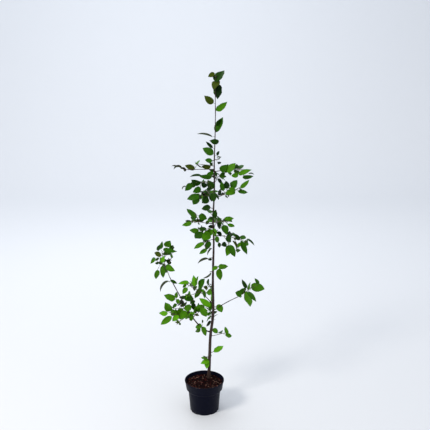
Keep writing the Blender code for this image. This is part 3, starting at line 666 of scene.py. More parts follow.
def nearest(points, others):
    gaps = points[:, None, :] - others[None, :, :]
    return np.sqrt((gaps**2).sum(axis=2))


def leafIsFree(samples, mass, leafClear, stemClear):
    blade = samples[leafRule["checkAcross"]:]
    if nearest(blade, mass["stemSamples"]).min() < stemClear:
        return False
    return all(nearest(blade, leaf).min() > leafClear for leaf in mass["own"])


# A leaf keeps to its own mass's space, off every limb and off the other masses
def leafFits(samples, mass, others, leafClear):
    name = mass["row"]["name"]
    if nearest(samples, mass["stemSamples"]).min(axis=1).max() > mass["row"]["leaf"] * leafRule["reach"]:
        return False
    for points, radii, owner in others["limbs"]:
        if owner != name and (nearest(samples, points) - radii[None, :]).min() < leafRule["limbClear"]:
            return False
    return all(owner == name or nearest(samples, points).min() >= leafClear
               for owner, points in others["leaves"])


def leafNodes(limb, first, skip):
    nodes = []
    for i in range(first, len(limb.points) - 1):
        if i not in skip:
            nodes.append((limb.points[i], (limb.points[i + 1] - limb.points[i - 1]).normalized(), i))
    return nodes


def sideTwig(row, stem, index, rng):
    along = (stem.points[index + 1] - stem.points[index - 1]).normalized()
    across = along.cross(sprayNormal(along, row["roll"])) * (1 if index % 2 else -1)
    way = (along * limbRule["twigAlong"] + across * limbRule["twigAcross"]).normalized()
    length = row["leaf"] * rng.uniform(*limbRule["twigLengths"])
    foot = stem.points[index]
    bend = up * rng.uniform(-1, 1) * limbRule["twigBend"]
    halfway = foot + way * length * 0.5
    end = halfway + (way + bend).normalized() * length * 0.5
    points = [foot, halfway, end, end + way * limbRule["twigEnd"]]
    return Limb(row["name"], points, taper(limbRule["twigR"], limbRule["twigTipR"], 4))


def twigPlaces(row):
    spread = (row["leaves"] + row["sides"]) / (row["sides"] + limbRule["spareTwigs"])
    return [2 + round((n + limbRule["firstTwig"]) * spread) for n in range(row["sides"])]


def planMass(row, limbs):
    rng = random.Random(row["seed"])
    isLeader = row["length"] == 0
    stem = leaderLine(row) if isLeader else stemLine(row, limbs[row["carrier"]], rng)
    places = twigPlaces(row)
    twigs = [sideTwig(row, stem, index, rng) for index in places]
    samples = np.concatenate([limbSamples(line)[0] for line in [stem] + twigs])
    return dict(row=row, rng=rng, stem=stem, first=1 if isLeader else 2, places=places, twigs=twigs,
                shoots=[], stemSamples=samples, leaves=[], own=[])


# The places of a mass's leaves: spot, way of the stem, side, degrees it opens by, length, width share
def leafJobs(mass):
    row = mass["row"]
    lines = [(mass["stem"], mass["first"], mass["places"], 1)]
    lines += [(twig, 1, (), -1) for twig in mass["twigs"]]
    jobs = []
    for limb, first, skip, flip in lines:
        for spot, along, i in leafNodes(limb, first, skip):
            size = row["leaf"] * mass["rng"].uniform(*leafRule["sizes"])
            spread = leafRule["openTip"] if i == len(limb.points) - 2 else leafRule["open"]
            jobs.append((spot, along, flip if i % 2 else -flip, spread, size, row["broad"]))
    return jobs


def leaderJobs(mass):
    jobs = []
    for (_, lean, length, broad), spot in zip(leaderLeaves, mass["stem"].points[1:]):
        jobs.append((spot, up, 1 if lean > 0 else -1, abs(lean), length * mm, broad))
    return jobs


def growLeaves(mass, others):
    row = mass["row"]
    jobs = leaderJobs(mass) if row["length"] == 0 else leafJobs(mass)
    for spot, along, side, spread, size, broad in jobs:
        normal = sprayNormal(along, row["roll"])
        for attempt in range(leafRule["tries"]):
            leaf = tryLeaf(row, spot, along, normal, side, spread, size, broad, mass["rng"])
            samples = leafSamples(leaf)
            strict = attempt < leafRule["strictTries"]
            if strict and not leafIsFree(samples, mass, leafRule["ownLeafClear"], leafRule["ownStemClear"]):
                continue
            if leafFits(samples, mass, others, leafRule["leafClear"]):
                keepLeaf(mass, others, leaf, samples)
                break


def keepLeaf(mass, others, leaf, samples):
    mass["leaves"].append(leaf)
    mass["own"].append(samples)
    others["leaves"].append((mass["row"]["name"], samples))


def planTree():
    limbs = {"trunk": trunkLine()}
    for row in boughRows:
        limbs[row["name"]] = boughLine(row, limbs["trunk"])
    masses = [planMass(row, limbs) for row in sprayRows]
    lines = list(limbs.values()) + [line for mass in masses for line in [mass["stem"]] + mass["twigs"]]
    others = dict(limbs=[(*limbSamples(line), line.name) for line in lines], leaves=[])
    for mass in sorted(masses, key=lambda mass: mass["row"]["leaves"]):
        growLeaves(mass, others)
    return limbs, masses, others


limbs, masses, others = planTree()
print("leaves of the solids' rule:", sum(len(mass["leaves"]) for mass in masses))

# The rule carried on: short shoots in the leaf axils, with smaller leaves, inside each mass's own reach
fineRule = {
    "seed": 40,
    "seedStep": 7,
    "fewest": 4,  # masses with fewer leaves stay as they are
    "chance": 0.75,
    "along": 0.8,  # the way of a shoot: shares of the stem's way, of its leaf's way, and to either side
    "across": 0.35,
    "aside": 0.7,
    "bends": (-0.2, 0.25),
    "shootLengths": (0.22, 0.5),  # shares of the mass's leaf length
    "shootR": 0.7 * mm,
    "shootTipR": 0.45 * mm,
    "leafSizes": (0.46, 0.78),
    "leavesEach": 2,
    "tries": 6,
    "leafClear": 2.0 * mm,
    "stemClear": 1.2 * mm,
}


# A short shoot in the axil of a leaf, and its way
def fineShoot(row, parent, normal, rng):
    rule = fineRule
    along, foot = parent["along"], parent["foot"]
    across = parent["way"] - along * parent["way"].dot(along)
    aside = rng.uniform(-rule["aside"], rule["aside"])
    way = (along * rule["along"] + across * rule["across"] + normal * aside).normalized()
    length = row["leaf"] * rng.uniform(*rule["shootLengths"])
    halfway = foot + way * length * 0.5
    end = halfway + (way + up * rng.uniform(*rule["bends"])).normalized() * length * 0.5
    return Limb(row["name"], [foot, halfway, end], taper(rule["shootR"], rule["shootTipR"], 3)), way


def growFine(mass, others):
    row, rule = mass["row"], fineRule
    if row["leaves"] < rule["fewest"] or row["length"] == 0:
        return
    rng = random.Random(rule["seed"] + rule["seedStep"] * row["seed"] + len(row["name"]))
    for parent in list(mass["leaves"]):
        if rng.random() > rule["chance"]:
            continue
        normal = sprayNormal(parent["along"], row["roll"])
        shoot, way = fineShoot(row, parent, normal, rng)
        grown = []
        for k in range(rule["leavesEach"]):
            size = row["leaf"] * rng.uniform(*rule["leafSizes"])
            spread = leafRule["openTip"] if k else leafRule["open"]
            side = rng.choice((-1, 1))
            for attempt in range(rule["tries"]):
                leaf = tryLeaf(row, shoot.points[1 + k], way, normal, side, spread, size, row["broad"], rng)
                samples = leafSamples(leaf)
                free = leafIsFree(samples, mass, rule["leafClear"], rule["stemClear"])
                if free and leafFits(samples, mass, others, rule["leafClear"]):
                    keepLeaf(mass, others, leaf, samples)
                    grown.append(k)
                    break
        if grown:
            kept = 3 if 1 in grown else 2
            mass["shoots"].append(Limb(row["name"], shoot.points[:kept], shoot.radii[:kept]))


for mass in masses:
    growFine(mass, others)
print("leaves with the finer shoots:", sum(len(mass["leaves"]) for mass in masses))

# Tones of the leaves: the first five are one green painted from shaded to lit, as painted shade and painted
# light; then olive, rolled grey and dried brown
shaded, dark, middle, lit, bright, olive, grey, dry = range(8)

# Leaves of the shown side, in mm in the upright plane of the trunk: foot of the blade (x, z), tip (x, z),
# width, tone, and for a rolled leaf the degrees that it arches by. The green tones paint each leaf as
# shaded or lit
seenLeaves = {
    "leader": (
        (41, 1331, 18, 1318, 16, olive), (47, 1299, 74, 1344, 31, dark), (56, 1304, 36, 1274, 23, olive),
        (56, 1291, 51, 1239, 28, shaded), (36, 1222, 5, 1247, 23, olive), (47, 1195, 87, 1224, 21, lit),
        (47, 1115, 70, 1174, 25, middle), (32, 1098, -24, 1108, 7, grey, 24),
        (57, 1078, 25, 1082, 18, dark), (34, 1056, 9, 1079, 11, shaded), (36, 1032, -3, 1056, 26, middle),
        (50, 1028, 59, 1044, 10, shaded),
    ),
    "top_left_leaf": ((32, 1007, 5, 1010, 17, middle), (33, 990, 22, 1000, 10, dark)),
    "top_right": ((50, 1020, 64, 1021, 4, grey, 30), (52, 1000, 67, 1000, 9, shaded)),
    "top_left_upper": (
        (-34, 976, -70, 990, 19, olive), (-6, 982, -33, 1004, 4, dry, -20), (26, 988, -8, 982, 18, olive),
    ),
    "top_left": (
        (-84, 976, -113, 974, 8, dry, 110), (-72, 966, -88, 977, 9, dry, 80),
        (-100, 983, -121, 987, 5, grey, 40),
    ),
    "upper_left_thin": (
        (30, 944, -18, 947, 16, middle), (-8, 948, -52, 946, 9, dark, 20), (37, 962, 10, 953, 15, middle),
        (40, 968, 22, 972, 11, dark),
    ),
    "upper_left": (
        (-14, 917, -46, 933, 22, dark), (-34, 922, -54, 908, 19, middle), (-46, 918, -70, 894, 22, middle),
        (-69, 909, -82, 897, 4, grey, 90), (11, 908, -10, 920, 17, shaded), (22, 903, 12, 893, 12, shaded),
        (36, 900, 15, 932, 24, dark), (-12, 903, -41, 887, 22, middle),
    ),
    "mid_left_high": (
        (-18, 872, -64, 862, 22, middle), (-20, 872, -43, 838, 26, middle), (12, 877, -12, 881, 12, shaded),
        (16, 866, -6, 845, 26, dark), (32, 884, 30, 848, 19, shaded),
    ),
    "mid_left_upper": ((25, 829, -8, 822, 21, dark),),
    "mid_left": (
        (-29, 787, -66, 824, 19, middle), (-20, 794, 12, 784, 24, middle), (0, 776, -52, 770, 11, dark),
        (-48, 766, -84, 757, 16, lit), (-50, 770, -72, 775, 10, shaded), (17, 774, 8, 760, 12, middle),
    ),
    "mid_left_lower": (
        (34, 754, 17, 750, 12, shaded), (-20, 736, -56, 735, 20, lit), (10, 741, -24, 743, 14, dark),
        (-4, 728, -35, 703, 30, middle), (22, 726, -6, 700, 30, lit), (33, 738, 6, 716, 24, lit),
    ),
    "mid_left_low": (
        (-2, 686, -39, 664, 16, lit), (22, 692, 7, 656, 17, middle), (12, 658, -20, 642, 15, lit),
        (31, 664, 14, 636, 6, grey, 30),
    ),
    "mid_right_front": ((40, 787, 46, 816, 19, dark), (37, 790, 26, 779, 10, dark)),
    "front_mid": ((38, 744, 45, 712, 17, lit), (46, 712, 58, 686, 17, lit), (58, 687, 62, 666, 12, dark)),
    "mid_right_upper": (
        (80, 782, 114, 782, 17, lit), (92, 760, 120, 752, 13, lit), (52, 768, 66, 743, 18, dark),
        (76, 757, 88, 720, 25, middle),
    ),
    "mid_right": (
        (54, 732, 66, 712, 15, shaded), (94, 689, 99, 720, 19, dark), (138, 697, 121, 720, 15, dark),
        (88, 680, 68, 677, 19, shaded), (99, 676, 89, 634, 24, lit), (102, 677, 121, 630, 22, middle),
        (111, 694, 128, 660, 8, olive, 18), (144, 694, 169, 641, 19, middle),
        (166, 701, 196, 675, 7, dark, 16),
    ),
    "upper_right": (
        (64, 968, 86, 991, 24, middle), (82, 962, 90, 994, 18, dark), (88, 964, 118, 999, 22, lit),
        (132, 955, 106, 949, 17, lit), (133, 956, 176, 975, 17, lit), (148, 944, 187, 948, 15, middle),
        (172, 957, 191, 954, 4, dark, 60), (80, 958, 64, 952, 10, dark),
    ),
    "right": (
        (74, 892, 68, 928, 19, middle), (90, 900, 84, 930, 20, shaded), (108, 902, 126, 934, 26, middle),
        (140, 903, 172, 933, 15, lit), (131, 889, 168, 888, 14, middle), (120, 888, 82, 880, 20, lit),
        (120, 892, 98, 904, 15, lit),
    ),
    "bare_right": ((56, 590, 94, 588, 20, lit), (60, 581, 62, 531, 23, lit), (52, 590, 31, 574, 15, lit)),
    "bare_left": ((27, 565, -4, 543, 7, grey, -30),),
    "bare_left_upper": ((16, 621, -24, 602, 9, grey, 30), (31, 620, 15, 617, 8, shaded)),
    "low_left_tip": (
        (-179, 654, -176, 679, 13, dark), (-172, 662, -163, 688, 13, middle),
        (-152, 672, -131, 692, 22, lit), (-160, 660, -112, 650, 17, middle),
        (-165, 641, -122, 640, 10, middle), (-167, 635, -196, 645, 17, olive),
        (-194, 627, -210, 602, 13, lit), (-177, 625, -194, 614, 9, dark), (-178, 604, -193, 603, 10, dark),
        (-166, 605, -158, 631, 15, bright), (-163, 606, -180, 604, 14, middle),
        (-151, 594, -118, 572, 22, lit), (-165, 592, -163, 541, 18, lit), (-184, 576, -190, 537, 19, lit),
    ),
    "low_left_curled": ((-133, 533, -107, 520, 11, dark), (-140, 529, -173, 486, 9, grey, 48)),
    "inner_left": (
        (-62, 526, -101, 519, 14, bright), (-72, 517, -84, 501, 10, lit), (-38, 508, -42, 549, 20, bright),
        (-34, 520, -26, 549, 8, lit), (-68, 502, -86, 478, 17, lit), (-20, 503, -2, 538, 21, middle),
        (-14, 503, -36, 455, 20, lit), (2, 489, 1, 458, 12, middle), (14, 499, -2, 506, 14, olive),
    ),
    "back_inner": ((36, 485, 7, 483, 23, bright),),
    "inner_left_leaf": ((24, 424, -19, 456, 22, bright), (41, 428, 4, 428, 23, lit)),
    "low_left_upper": (
        (-117, 452, -158, 473, 26, lit), (-112, 458, -109, 485, 13, lit), (-103, 455, -107, 431, 15, lit),
        (-109, 432, -130, 418, 13, middle), (-72, 462, -101, 461, 13, dark),
        (-80, 462, -42, 455, 26, middle), (-38, 448, -56, 434, 16, dark), (-44, 440, -43, 406, 17, dark),
        (-70, 441, -95, 418, 9, middle),
    ),
    "low_left_outer": (
        (-136, 404, -155, 437, 27, lit), (-147, 396, -182, 393, 19, bright),
        (-131, 380, -176, 346, 22, lit), (-98, 402, -134, 384, 28, lit), (-104, 386, -128, 360, 19, bright),
        (-84, 412, -108, 404, 15, lit), (-76, 406, -94, 368, 24, lit), (-65, 406, -73, 365, 24, bright),
        (-52, 402, -58, 372, 18, bright), (-54, 386, -50, 361, 18, lit), (-52, 424, -82, 412, 24, lit),
    ),
    "low_left_inner": (
        (0, 428, -42, 406, 26, lit), (-6, 420, 6, 378, 26, lit), (21, 401, 15, 382, 11, middle),
        (-38, 390, -21, 384, 8, olive),
    ),
    "low_left_foot": (
        (-10, 342, -38, 335, 19, lit), (-8, 336, 9, 298, 19, lit), (-9, 367, -8, 351, 6, middle),
    ),
    "low_front_pair": ((36, 330, 53, 308, 18, lit),),
    "low_right_foot": ((55, 432, 70, 398, 24, lit),),
    "low_right": (
        (150, 476, 124, 481, 23, middle), (170, 485, 178, 420, 28, lit), (172, 484, 206, 447, 16, middle),
        (187, 515, 239, 494, 32, lit), (216, 519, 201, 538, 12, middle), (169, 501, 151, 534, 14, dark),
    ),
    "low_right_tuft": ((93, 304, 84, 338, 14, lit), (85, 300, 111, 300, 17, lit)),
    "low_right_leaf": ((40, 226, 75, 257, 19, bright),),
    "low_left_tuft": (
        (20, 192, -15, 177, 18, bright), (12, 197, -14, 205, 12, lit), (14, 190, 8, 154, 18, bright),
        (24, 218, 16, 200, 13, bright),
    ),
}
seenRule = {
    "plane": 40 * mm,
    "wider": 1.06,
    "longer": 1.04,
    "near": 16 * mm,  # a leaf of the rule this close takes the pose
    "depth": 0.7,  # how far the tip may lie in front or behind, as a share of the length
    "footDepth": 7 * mm,
    "stalkMost": 20 * mm,
    "stalkLeft": 11 * mm,
    "shootBend": 0.06,
    "shootThick": 1.2,
    "folds": (0.3, 1.3),  # shares of the usual fold and curl
    "curls": (0.3, 1.5),
    "turn": 42,
    "tries": 14,
    "clear": 2.5 * mm,
    "thin": 8,  # mm: narrower leaves are rolled
    "thinRoll": 0.7,
    "thinWider": 1.6,
    "rollBy": 150,
    "rollShare": 0.4,
    "seed": 31,
    "aside": 0.35,  # the leaves left over turn to the back, with some of their own direction kept
    "stray": 0.42,
    "strayTop": 0.6,
}


# A spot seen at x and z in the plane of the trunk, moved along the line of sight to another depth
def seenSpot(x, z, depth):
    eye = Vector(cameraSetup["place"])
    spot = Vector((x * mm, seenRule["plane"], z * mm))
    return eye + (spot - eye) * ((depth - eye.y) / (spot.y - eye.y))


# The spot that a seen leaf grows from: that of a leaf of the rule close by, or the nearest of the stems
def footFor(mass, pose, free):
    best, bestGap = None, seenRule["near"]
    for leaf in free:
        away = (seenSpot(pose[0], pose[1], leaf["foot"].y) - leaf["foot"]).length
        if away < bestGap:
            best, bestGap = leaf, away
    if best:
        free.remove(best)
        return best["foot"], best["along"]
    spots = [Vector(spot) for spot in mass["stemSamples"]] + [shoot.points[-1] for shoot in mass["shoots"]]
    return min(spots, key=lambda spot: (seenSpot(pose[0], pose[1], spot.y) - spot).length), up


# A seen leaf far from its stem hangs on a short shoot of its own
def addShoot(mass, leaf):
    rule, foot = seenRule, leaf["foot"]
    span = (leaf["base"] - foot).length
    if span < rule["stalkMost"]:
        return
    end = foot.lerp(leaf["base"], 1 - rule["stalkLeft"] / span)
    halfway = foot.lerp(end, 0.5) + leaf["along"] * rule["shootBend"] * span
    radii = taper(fineRule["shootR"] * rule["shootThick"], fineRule["shootTipR"], 3)
    mass["shoots"].append(Limb(mass["row"]["name"], [foot, halfway, end], radii))
    leaf.update(along=(end - halfway).normalized(), foot=end)


# One way that a seen leaf may lie in depth
def layLeaf(pose, foot, along, rng):
    rule = seenRule
    footX, footZ, tipX, tipZ, width, tone, *arch = pose
    base = seenSpot(footX, footZ, foot.y + rng.uniform(-1, 1) * rule["footDepth"])
    flat = math.hypot(tipX - footX, tipZ - footZ) * mm
    tip = seenSpot(tipX, tipZ, base.y + rng.uniform(-1, 1) * rule["depth"] * flat)
    tip = base + (tip - base) * rule["longer"]
    way = (tip - base).normalized()
    view = (base - Vector(cameraSetup["place"])).normalized()
    leaf = dict(foot=foot, along=along, base=base, way=way, blade=(tip - base).length, tone=tone)
    leaf.update(width=width * rule["wider"] * mm, fold=leafRule["fold"] * rng.uniform(*rule["folds"]),
                curl=leafRule["curl"] * rng.uniform(*rule["curls"]), seed=rng.randrange(10**6))
    if arch:
        half = math.radians(abs(arch[0])) / 2
        bulge = view.cross(way).normalized()
        if (bulge.z > 0) != (arch[0] > 0):
            bulge = -bulge
        leaf.update(way=way * math.cos(half) + bulge * math.sin(half), coil=2 * math.degrees(half),
                    top=bulge * math.cos(half) - way * math.sin(half), roll=rule["rollBy"],
                    blade=leaf["blade"] * half / math.sin(half), width=leaf["width"] / rule["rollShare"])
        return leaf
    top = -(view - way * view.dot(way)).normalized()
    turn = math.radians(rng.uniform(-1, 1) * rule["turn"])
    leaf["top"] = top * math.cos(turn) + way.cross(top) * math.sin(turn)
    leaf["width"] /= math.cos(turn)
    if width < rule["thin"]:
        leaf.update(roll=rule["rollBy"] * rule["thinRoll"], width=leaf["width"] * rule["thinWider"])
    return leaf


def anyWay(rng):
    return Vector([rng.uniform(-1, 1) for _ in range(3)])


# The shown leaves take their poses, and the leaves left over point away from the viewer
def poseMass(mass, placed):
    rule = seenRule
    name = mass["row"]["name"][len("leaves_"):]
    if name not in seenLeaves:
        return
    free = list(mass["leaves"])
    rng = random.Random(rule["seed"] + len(name) + mass["row"]["seed"])
    shown = []
    for pose in seenLeaves[name]:
        foot, along = footFor(mass, pose, free)
        best, bestGap = None, -1.0
        for attempt in range(rule["tries"]):
            leaf = layLeaf(pose, foot, along, rng)
            leaf["spots"] = shapeLeaf(leaf)
            room = min((nearest(leaf["spots"], other).min() for other in placed), default=1.0)
            if room > bestGap:
                best, bestGap = leaf, room
            if room > rule["clear"]:
                break
        addShoot(mass, best)
        shown.append(best)
        placed.append(best["spots"])
    for leaf in free:
        leaf["way"] = (leaf["way"] * rule["aside"] - front + anyWay(rng) * rule["stray"]).normalized()
        top = leaf["top"] + anyWay(rng) * rule["strayTop"]
        leaf["top"] = (top - leaf["way"] * top.dot(leaf["way"])).normalized()
    mass["leaves"] = shown + free


leafLook = {
    "rows": (0.0, 0.06, 0.15, 0.26, 0.37, 0.48, 0.59, 0.70, 0.80, 0.89, 0.96),
    "outline": ((0, 0.10), (0.04, 0.42), (0.10, 0.68), (0.2, 0.90), (0.3, 0.99), (0.42, 1.0), (0.55, 0.94),
                (0.68, 0.79), (0.8, 0.54), (0.9, 0.26), (0.96, 0.10), (1, 0)),
    "long": 0.95,  # size against the rule's leaf
    "wide": 0.84,
    "stalkShort": 0.8,
    "quarter": 0.52,
    "toothOut": 0.085,  # share of the half width
    "toothAlong": 0.74,
    "reachMost": 1.2,
    "foldCurve": 1.25,
    "bulge": 0.07,
    "ribThick": (0.9 * mm, 0.35 * mm),  # the midrib stands out below, thick at the foot and thin at the tip
    "wave": 0.10,
    "waves": (1.6, 2.6),  # along the blade
    "waveShares": (0.3, 1.0),
    "twist": 16,
    "sweep": 0.06,
    "seed": 21,
    "stalkR": (0.85 * mm, 0.6 * mm),
    "stalkTip": 0.9,
    "stalkIn": 1.0,  # mm into the blade
    "stalkBelow": 0.3,  # mm
    "stalkRise": 0.08,
    "stalkBack": 0.1,
}


# The leaf's own net of points: along, across, below, and its faces with those of the underside last
def leafNet():
    rows = leafLook["rows"]
    q = leafLook["quarter"]
    points = []
    for v in rows:
        points += [(v, -1.0, 0), (v, -q, 0), (v, 0.0, 0), (v, q, 0), (v, 1.0, 0), (v, 0.0, 1)]
    tip = len(points)
    points.append((1.0, 0.0, 0))
    out = 1 + leafLook["toothOut"]
    upper, lower = [], []
    for i in range(len(rows) - 1):
        v = rows[i] + (rows[i + 1] - rows[i]) * leafLook["toothAlong"]
        left, right = len(points), len(points) + 1
        points += [(v, -out, 0), (v, out, 0)]
        a, b = 6 * i, 6 * (i + 1)
        upper += [(a, a + 1, b + 1, b, left), (a + 1, a + 2, b + 2, b + 1), (a + 2, a + 3, b + 3, b + 2),
                  (a + 3, a + 4, right, b + 4, b + 3)]
        lower += [(a, left, b, b + 5, a + 5), (a + 4, a + 5, b + 5, b + 4, right)]
    last = 6 * (len(rows) - 1)
    upper += [(last + k, last + k + 1, tip) for k in range(4)]
    lower += [(last + 5, last, tip), (last + 4, last + 5, tip), (0, 5, 4, 3, 2, 1)]
    return np.array(points), upper, lower


netPoints, netUpper, netLower = leafNet()


# Bends the net into one leaf: folded, curled, puckered, waved and a little twisted
def shapeLeaf(leaf):
    look = leafLook
    rng = random.Random(leaf["seed"])
    way, top, blade = leaf["way"], leaf["top"], leaf["blade"]
    side = way.cross(top)
    v, u, below = netPoints.T
    shares, widths = np.array(look["outline"]).T
    half = np.interp(v, shares, widths) * leaf["width"] / 2
    reach = np.minimum(np.abs(u), look["reachMost"])
    roll = math.radians(leaf.get("roll", 0.0))
    if roll:
        flat = np.sin(roll * reach) / roll * np.sign(u) * half
        lift = (1 - np.cos(roll * reach)) / roll * half
    else:
        flat = u * half
        lift = reach ** look["foldCurve"] * half * leaf["fold"]
        lift = lift + np.sin(np.pi * np.minimum(reach, 1)) * look["bulge"] * half
        wave = np.sin(2 * np.pi * (v * rng.uniform(*look["waves"]) + rng.random())) * np.sign(u)
        lift = lift + wave * look["wave"] * rng.uniform(*look["waveShares"]) * reach**2 * half
    lift = lift - below * np.interp(v, (0, 1), look["ribThick"])
    twist = np.radians(rng.uniform(-1, 1) * look["twist"]) * v
    flat, lift = flat * np.cos(twist) - lift * np.sin(twist), flat * np.sin(twist) + lift * np.cos(twist)
    flat = flat + rng.uniform(-1, 1) * look["sweep"] * blade * v * (1 - v) * 2
    coil = math.radians(leaf.get("coil", 0.0))
    if coil:
        forward = np.sin(coil * v) / coil * blade + lift * np.sin(coil * v)
        rise = lift * np.cos(coil * v) - (1 - np.cos(coil * v)) / coil * blade
    else:
        forward = v * blade
        rise = lift - leaf["curl"] * blade * v**2
    return np.outer(forward, way) + np.outer(flat, side) + np.outer(rise, top) + np.array(leaf["base"])


# A leaf of the rule gets its blade and its tone
def settleLeaf(leaf, row, rng):
    long = leaf["length"] * leafLook["long"]
    stalk = leafRule["stalk"] * leafLook["stalkShort"]
    leaf["base"] = leaf["foot"] + leaf["way"] * stalk * long
    leaf["blade"] = long * (1 - stalk)
    leaf["width"] *= leafLook["wide"]
    leaf["seed"] = rng.randrange(10**6)
    leaf["tone"] = pickTone(leaf, row, rng)
    leaf["spots"] = shapeLeaf(leaf)


# Painted shade inside the crown: shares of dark and of lit leaves near the trunk and far from it, by the
# distance of the leaf's tip
shadeRule = {
    "near": 25 * mm,
    "far": 110 * mm,
    "darkShares": (0.62, 0.25),
    "litShares": (0.06, 0.4),
    "heights": (0.12, 1.33),  # the trunk's line runs between these
}


# Painted shade and light: inner leaves mostly get the dark tones and outer leaves mostly the lit ones; a
# spray tinted bright is painted a step lighter, one tinted dark gets only the shaded tones
def pickTone(leaf, row, rng):
    rule = shadeRule
    lowest, highest = rule["heights"]
    tip = leaf["foot"] + leaf["way"] * leaf["length"]
    stem = smoothBend(min(max(tip.z, lowest), highest))
    out = ((tip - stem).xy.length - rule["near"]) / (rule["far"] - rule["near"])
    darkShare = float(np.interp(out, (0, 1), rule["darkShares"]))
    litShare = float(np.interp(out, (0, 1), rule["litShares"]))
    pick = rng.random()
    paintedLighter = row["tint"] == "bright"
    if pick < darkShare or row["tint"] == "dark":
        return rng.choice((dark, middle) if paintedLighter else (shaded, dark))
    if pick > 1 - litShare:
        return bright if paintedLighter else lit
    return lit if paintedLighter else middle


# A stalk that leaves the twig in its own direction and bends into the blade
def stalkLine(leaf):
    look, foot = leafLook, leaf["foot"]
    end = leaf["base"] + leaf["way"] * look["stalkIn"] * mm - leaf["top"] * look["stalkBelow"] * mm
    span = (end - foot).length
    bend = foot.lerp(end, 0.5) + leaf["along"] * look["stalkRise"] * span
    bend = bend - leaf["way"] * look["stalkBack"] * span
    thick, thin = look["stalkR"]
    return [foot, bend, end], [thick, thin, thin * look["stalkTip"]]


placed = []
rng = random.Random(leafLook["seed"])
for mass in masses:
    poseMass(mass, placed)
    for leaf in mass["leaves"]:
        if "spots" not in leaf:
            settleLeaf(leaf, mass["row"], rng)
            placed.append(leaf["spots"])
print("leaves posed:", len(placed))


# Bevelled curves, one spline for each line, turned into one mesh
def drawLimbs(name, lines, sides, between):
    bpy.ops.curve.primitive_bezier_curve_add(location=(0, 0, 0))
    item = bpy.context.object
    item.name = name
    curve = item.data
    curve.splines.clear()
    curve.dimensions = "3D"
    curve.bevel_depth = mm
    curve.bevel_resolution = (sides - 4) // 2
    curve.resolution_u = between
    curve.use_fill_caps = True
    for points, radii in lines:
        spline = curve.splines.new("BEZIER")
        spline.bezier_points.add(len(points) - 1)
        for knot, spot, radius in zip(spline.bezier_points, points, radii):
            knot.co = spot
            knot.radius = radius / mm
            knot.handle_left_type = "AUTO"
            knot.handle_right_type = "AUTO"
    pickOnly(item)
    bpy.ops.object.convert(target="MESH")
    editMode(bpy.context.object)
    closeMesh()
    return bpy.context.object


# How a limb's foot is carried into its carrier, in a swollen collar
rootRule = {
    "deep": 0.7,  # share of the carrier's radius
    "endDeep": 3 * mm,  # on the end of a bough
    "boughSwell": 1.5,
    "twigSwell": 1.3,
    "swellLeft": 0.6,
}


def rooted(limb, deep, swell):
    foot = limb.points[0]
    way = (limb.points[1] - foot).normalized()
    points = [foot - way * deep] + list(limb.points)
    radii = [limb.radii[0] * swell, limb.radii[0] * (1 + (swell - 1) * rootRule["swellLeft"])]
    return points, radii + list(limb.radii[1:])


barkRelief = {
    "streakWide": 2.4 * mm,  # across the grain
    "streakLong": 14 * mm,
    "streakDeep": 0.16 * mm,
    "lumpSize": 28 * mm,
    "lumpShift": 5,
    "lumpDeep": 0.32 * mm,
    "poreCount": 330,
    "poreSize": 1.1 * mm,
    "poreSizes": (0.6, 1.3),
    "poreFlat": 2.0,
    "poreEdge": 2,
    "poreHigh": 0.16 * mm,
    "poreSeed": 12,
    "boughRelief": 0.55,
    "boughPores": 160,
    "rootLobes": 5,
    "rootTurn": 0.6,
    "rootUneven": 0.5,
    "rootDraw": 0.24,  # drawn in against the solid's even flare
    "rootDeep": 0.12,
    "rootHigh": 9 * mm,
    "rootReach": 6,
    "runOn": 5,  # mm into the compost
    "runOnSwell": 1.04,
    "trunkSides": 40,
    "trunkBetween": 12,
    "boughSides": 16,
    "boughBetween": 9,
    "smooth": 60,
}


# Long streaks, slow lumps and raised pores, and a paler mark where each pore is
def carveBark(item, strength, poreCount):
    rule = barkRelief
    mesh = item.data
    count = len(mesh.vertices)
    spots = np.zeros(count * 3)
    normals = np.zeros(count * 3)
    mesh.vertices.foreach_get("co", spots)
    mesh.vertices.foreach_get("normal", normals)
    spots = spots.reshape(-1, 3)
    normals = normals.reshape(-1, 3)
    wide, tall, lumpSize = rule["streakWide"], rule["streakLong"], rule["lumpSize"]
    rise = np.zeros(count)
    for i, (x, y, z) in enumerate(spots):
        streak = noise.noise((x / wide, y / wide, z / tall))
        lump = noise.noise((x / lumpSize + rule["lumpShift"], y / lumpSize, z / lumpSize))
        rise[i] = streak * rule["streakDeep"] + lump * rule["lumpDeep"]
    rng = random.Random(rule["poreSeed"])
    marks = np.zeros(count)
    for n in range(poreCount):
        away = spots - spots[rng.randrange(count)]
        flat = np.sqrt(away[:, 0] ** 2 + away[:, 1] ** 2 + (away[:, 2] * rule["poreFlat"]) ** 2)
        size = rule["poreSize"] * rng.uniform(*rule["poreSizes"])
        marks = np.maximum(marks, np.clip(1 - flat / size, 0, 1))
    marks = np.minimum(marks * rule["poreEdge"], 1)
    rise += marks * rule["poreHigh"]
    spots += normals * (rise * strength)[:, None]
    mesh.vertices.foreach_set("co", spots.ravel())
    marked = mesh.attributes.new("pores", "FLOAT", "POINT")
    marked.data.foreach_set("value", marks.astype(np.float32))
    mesh.update()


# Low lobes where the roots spread
def spreadRoots(item):
    rule = barkRelief
    foot = smoothBend(trunkSizes["footZ"])
    for vertex in item.data.vertices:
        high = vertex.co.z - trunkSizes["footZ"]
        if high < rule["rootReach"] * rule["rootHigh"]:
            out = Vector((vertex.co.x - foot.x, vertex.co.y - foot.y, 0))
            angle = math.atan2(out.y, out.x)
            lobe = math.cos(rule["rootLobes"] * angle + rule["rootTurn"])
            lobe += rule["rootUneven"] * math.cos(2 * angle)
            fade = math.exp(-max(high, 0) / rule["rootHigh"])
            vertex.co += out * (rule["rootDeep"] * lobe - rule["rootDraw"]) * fade


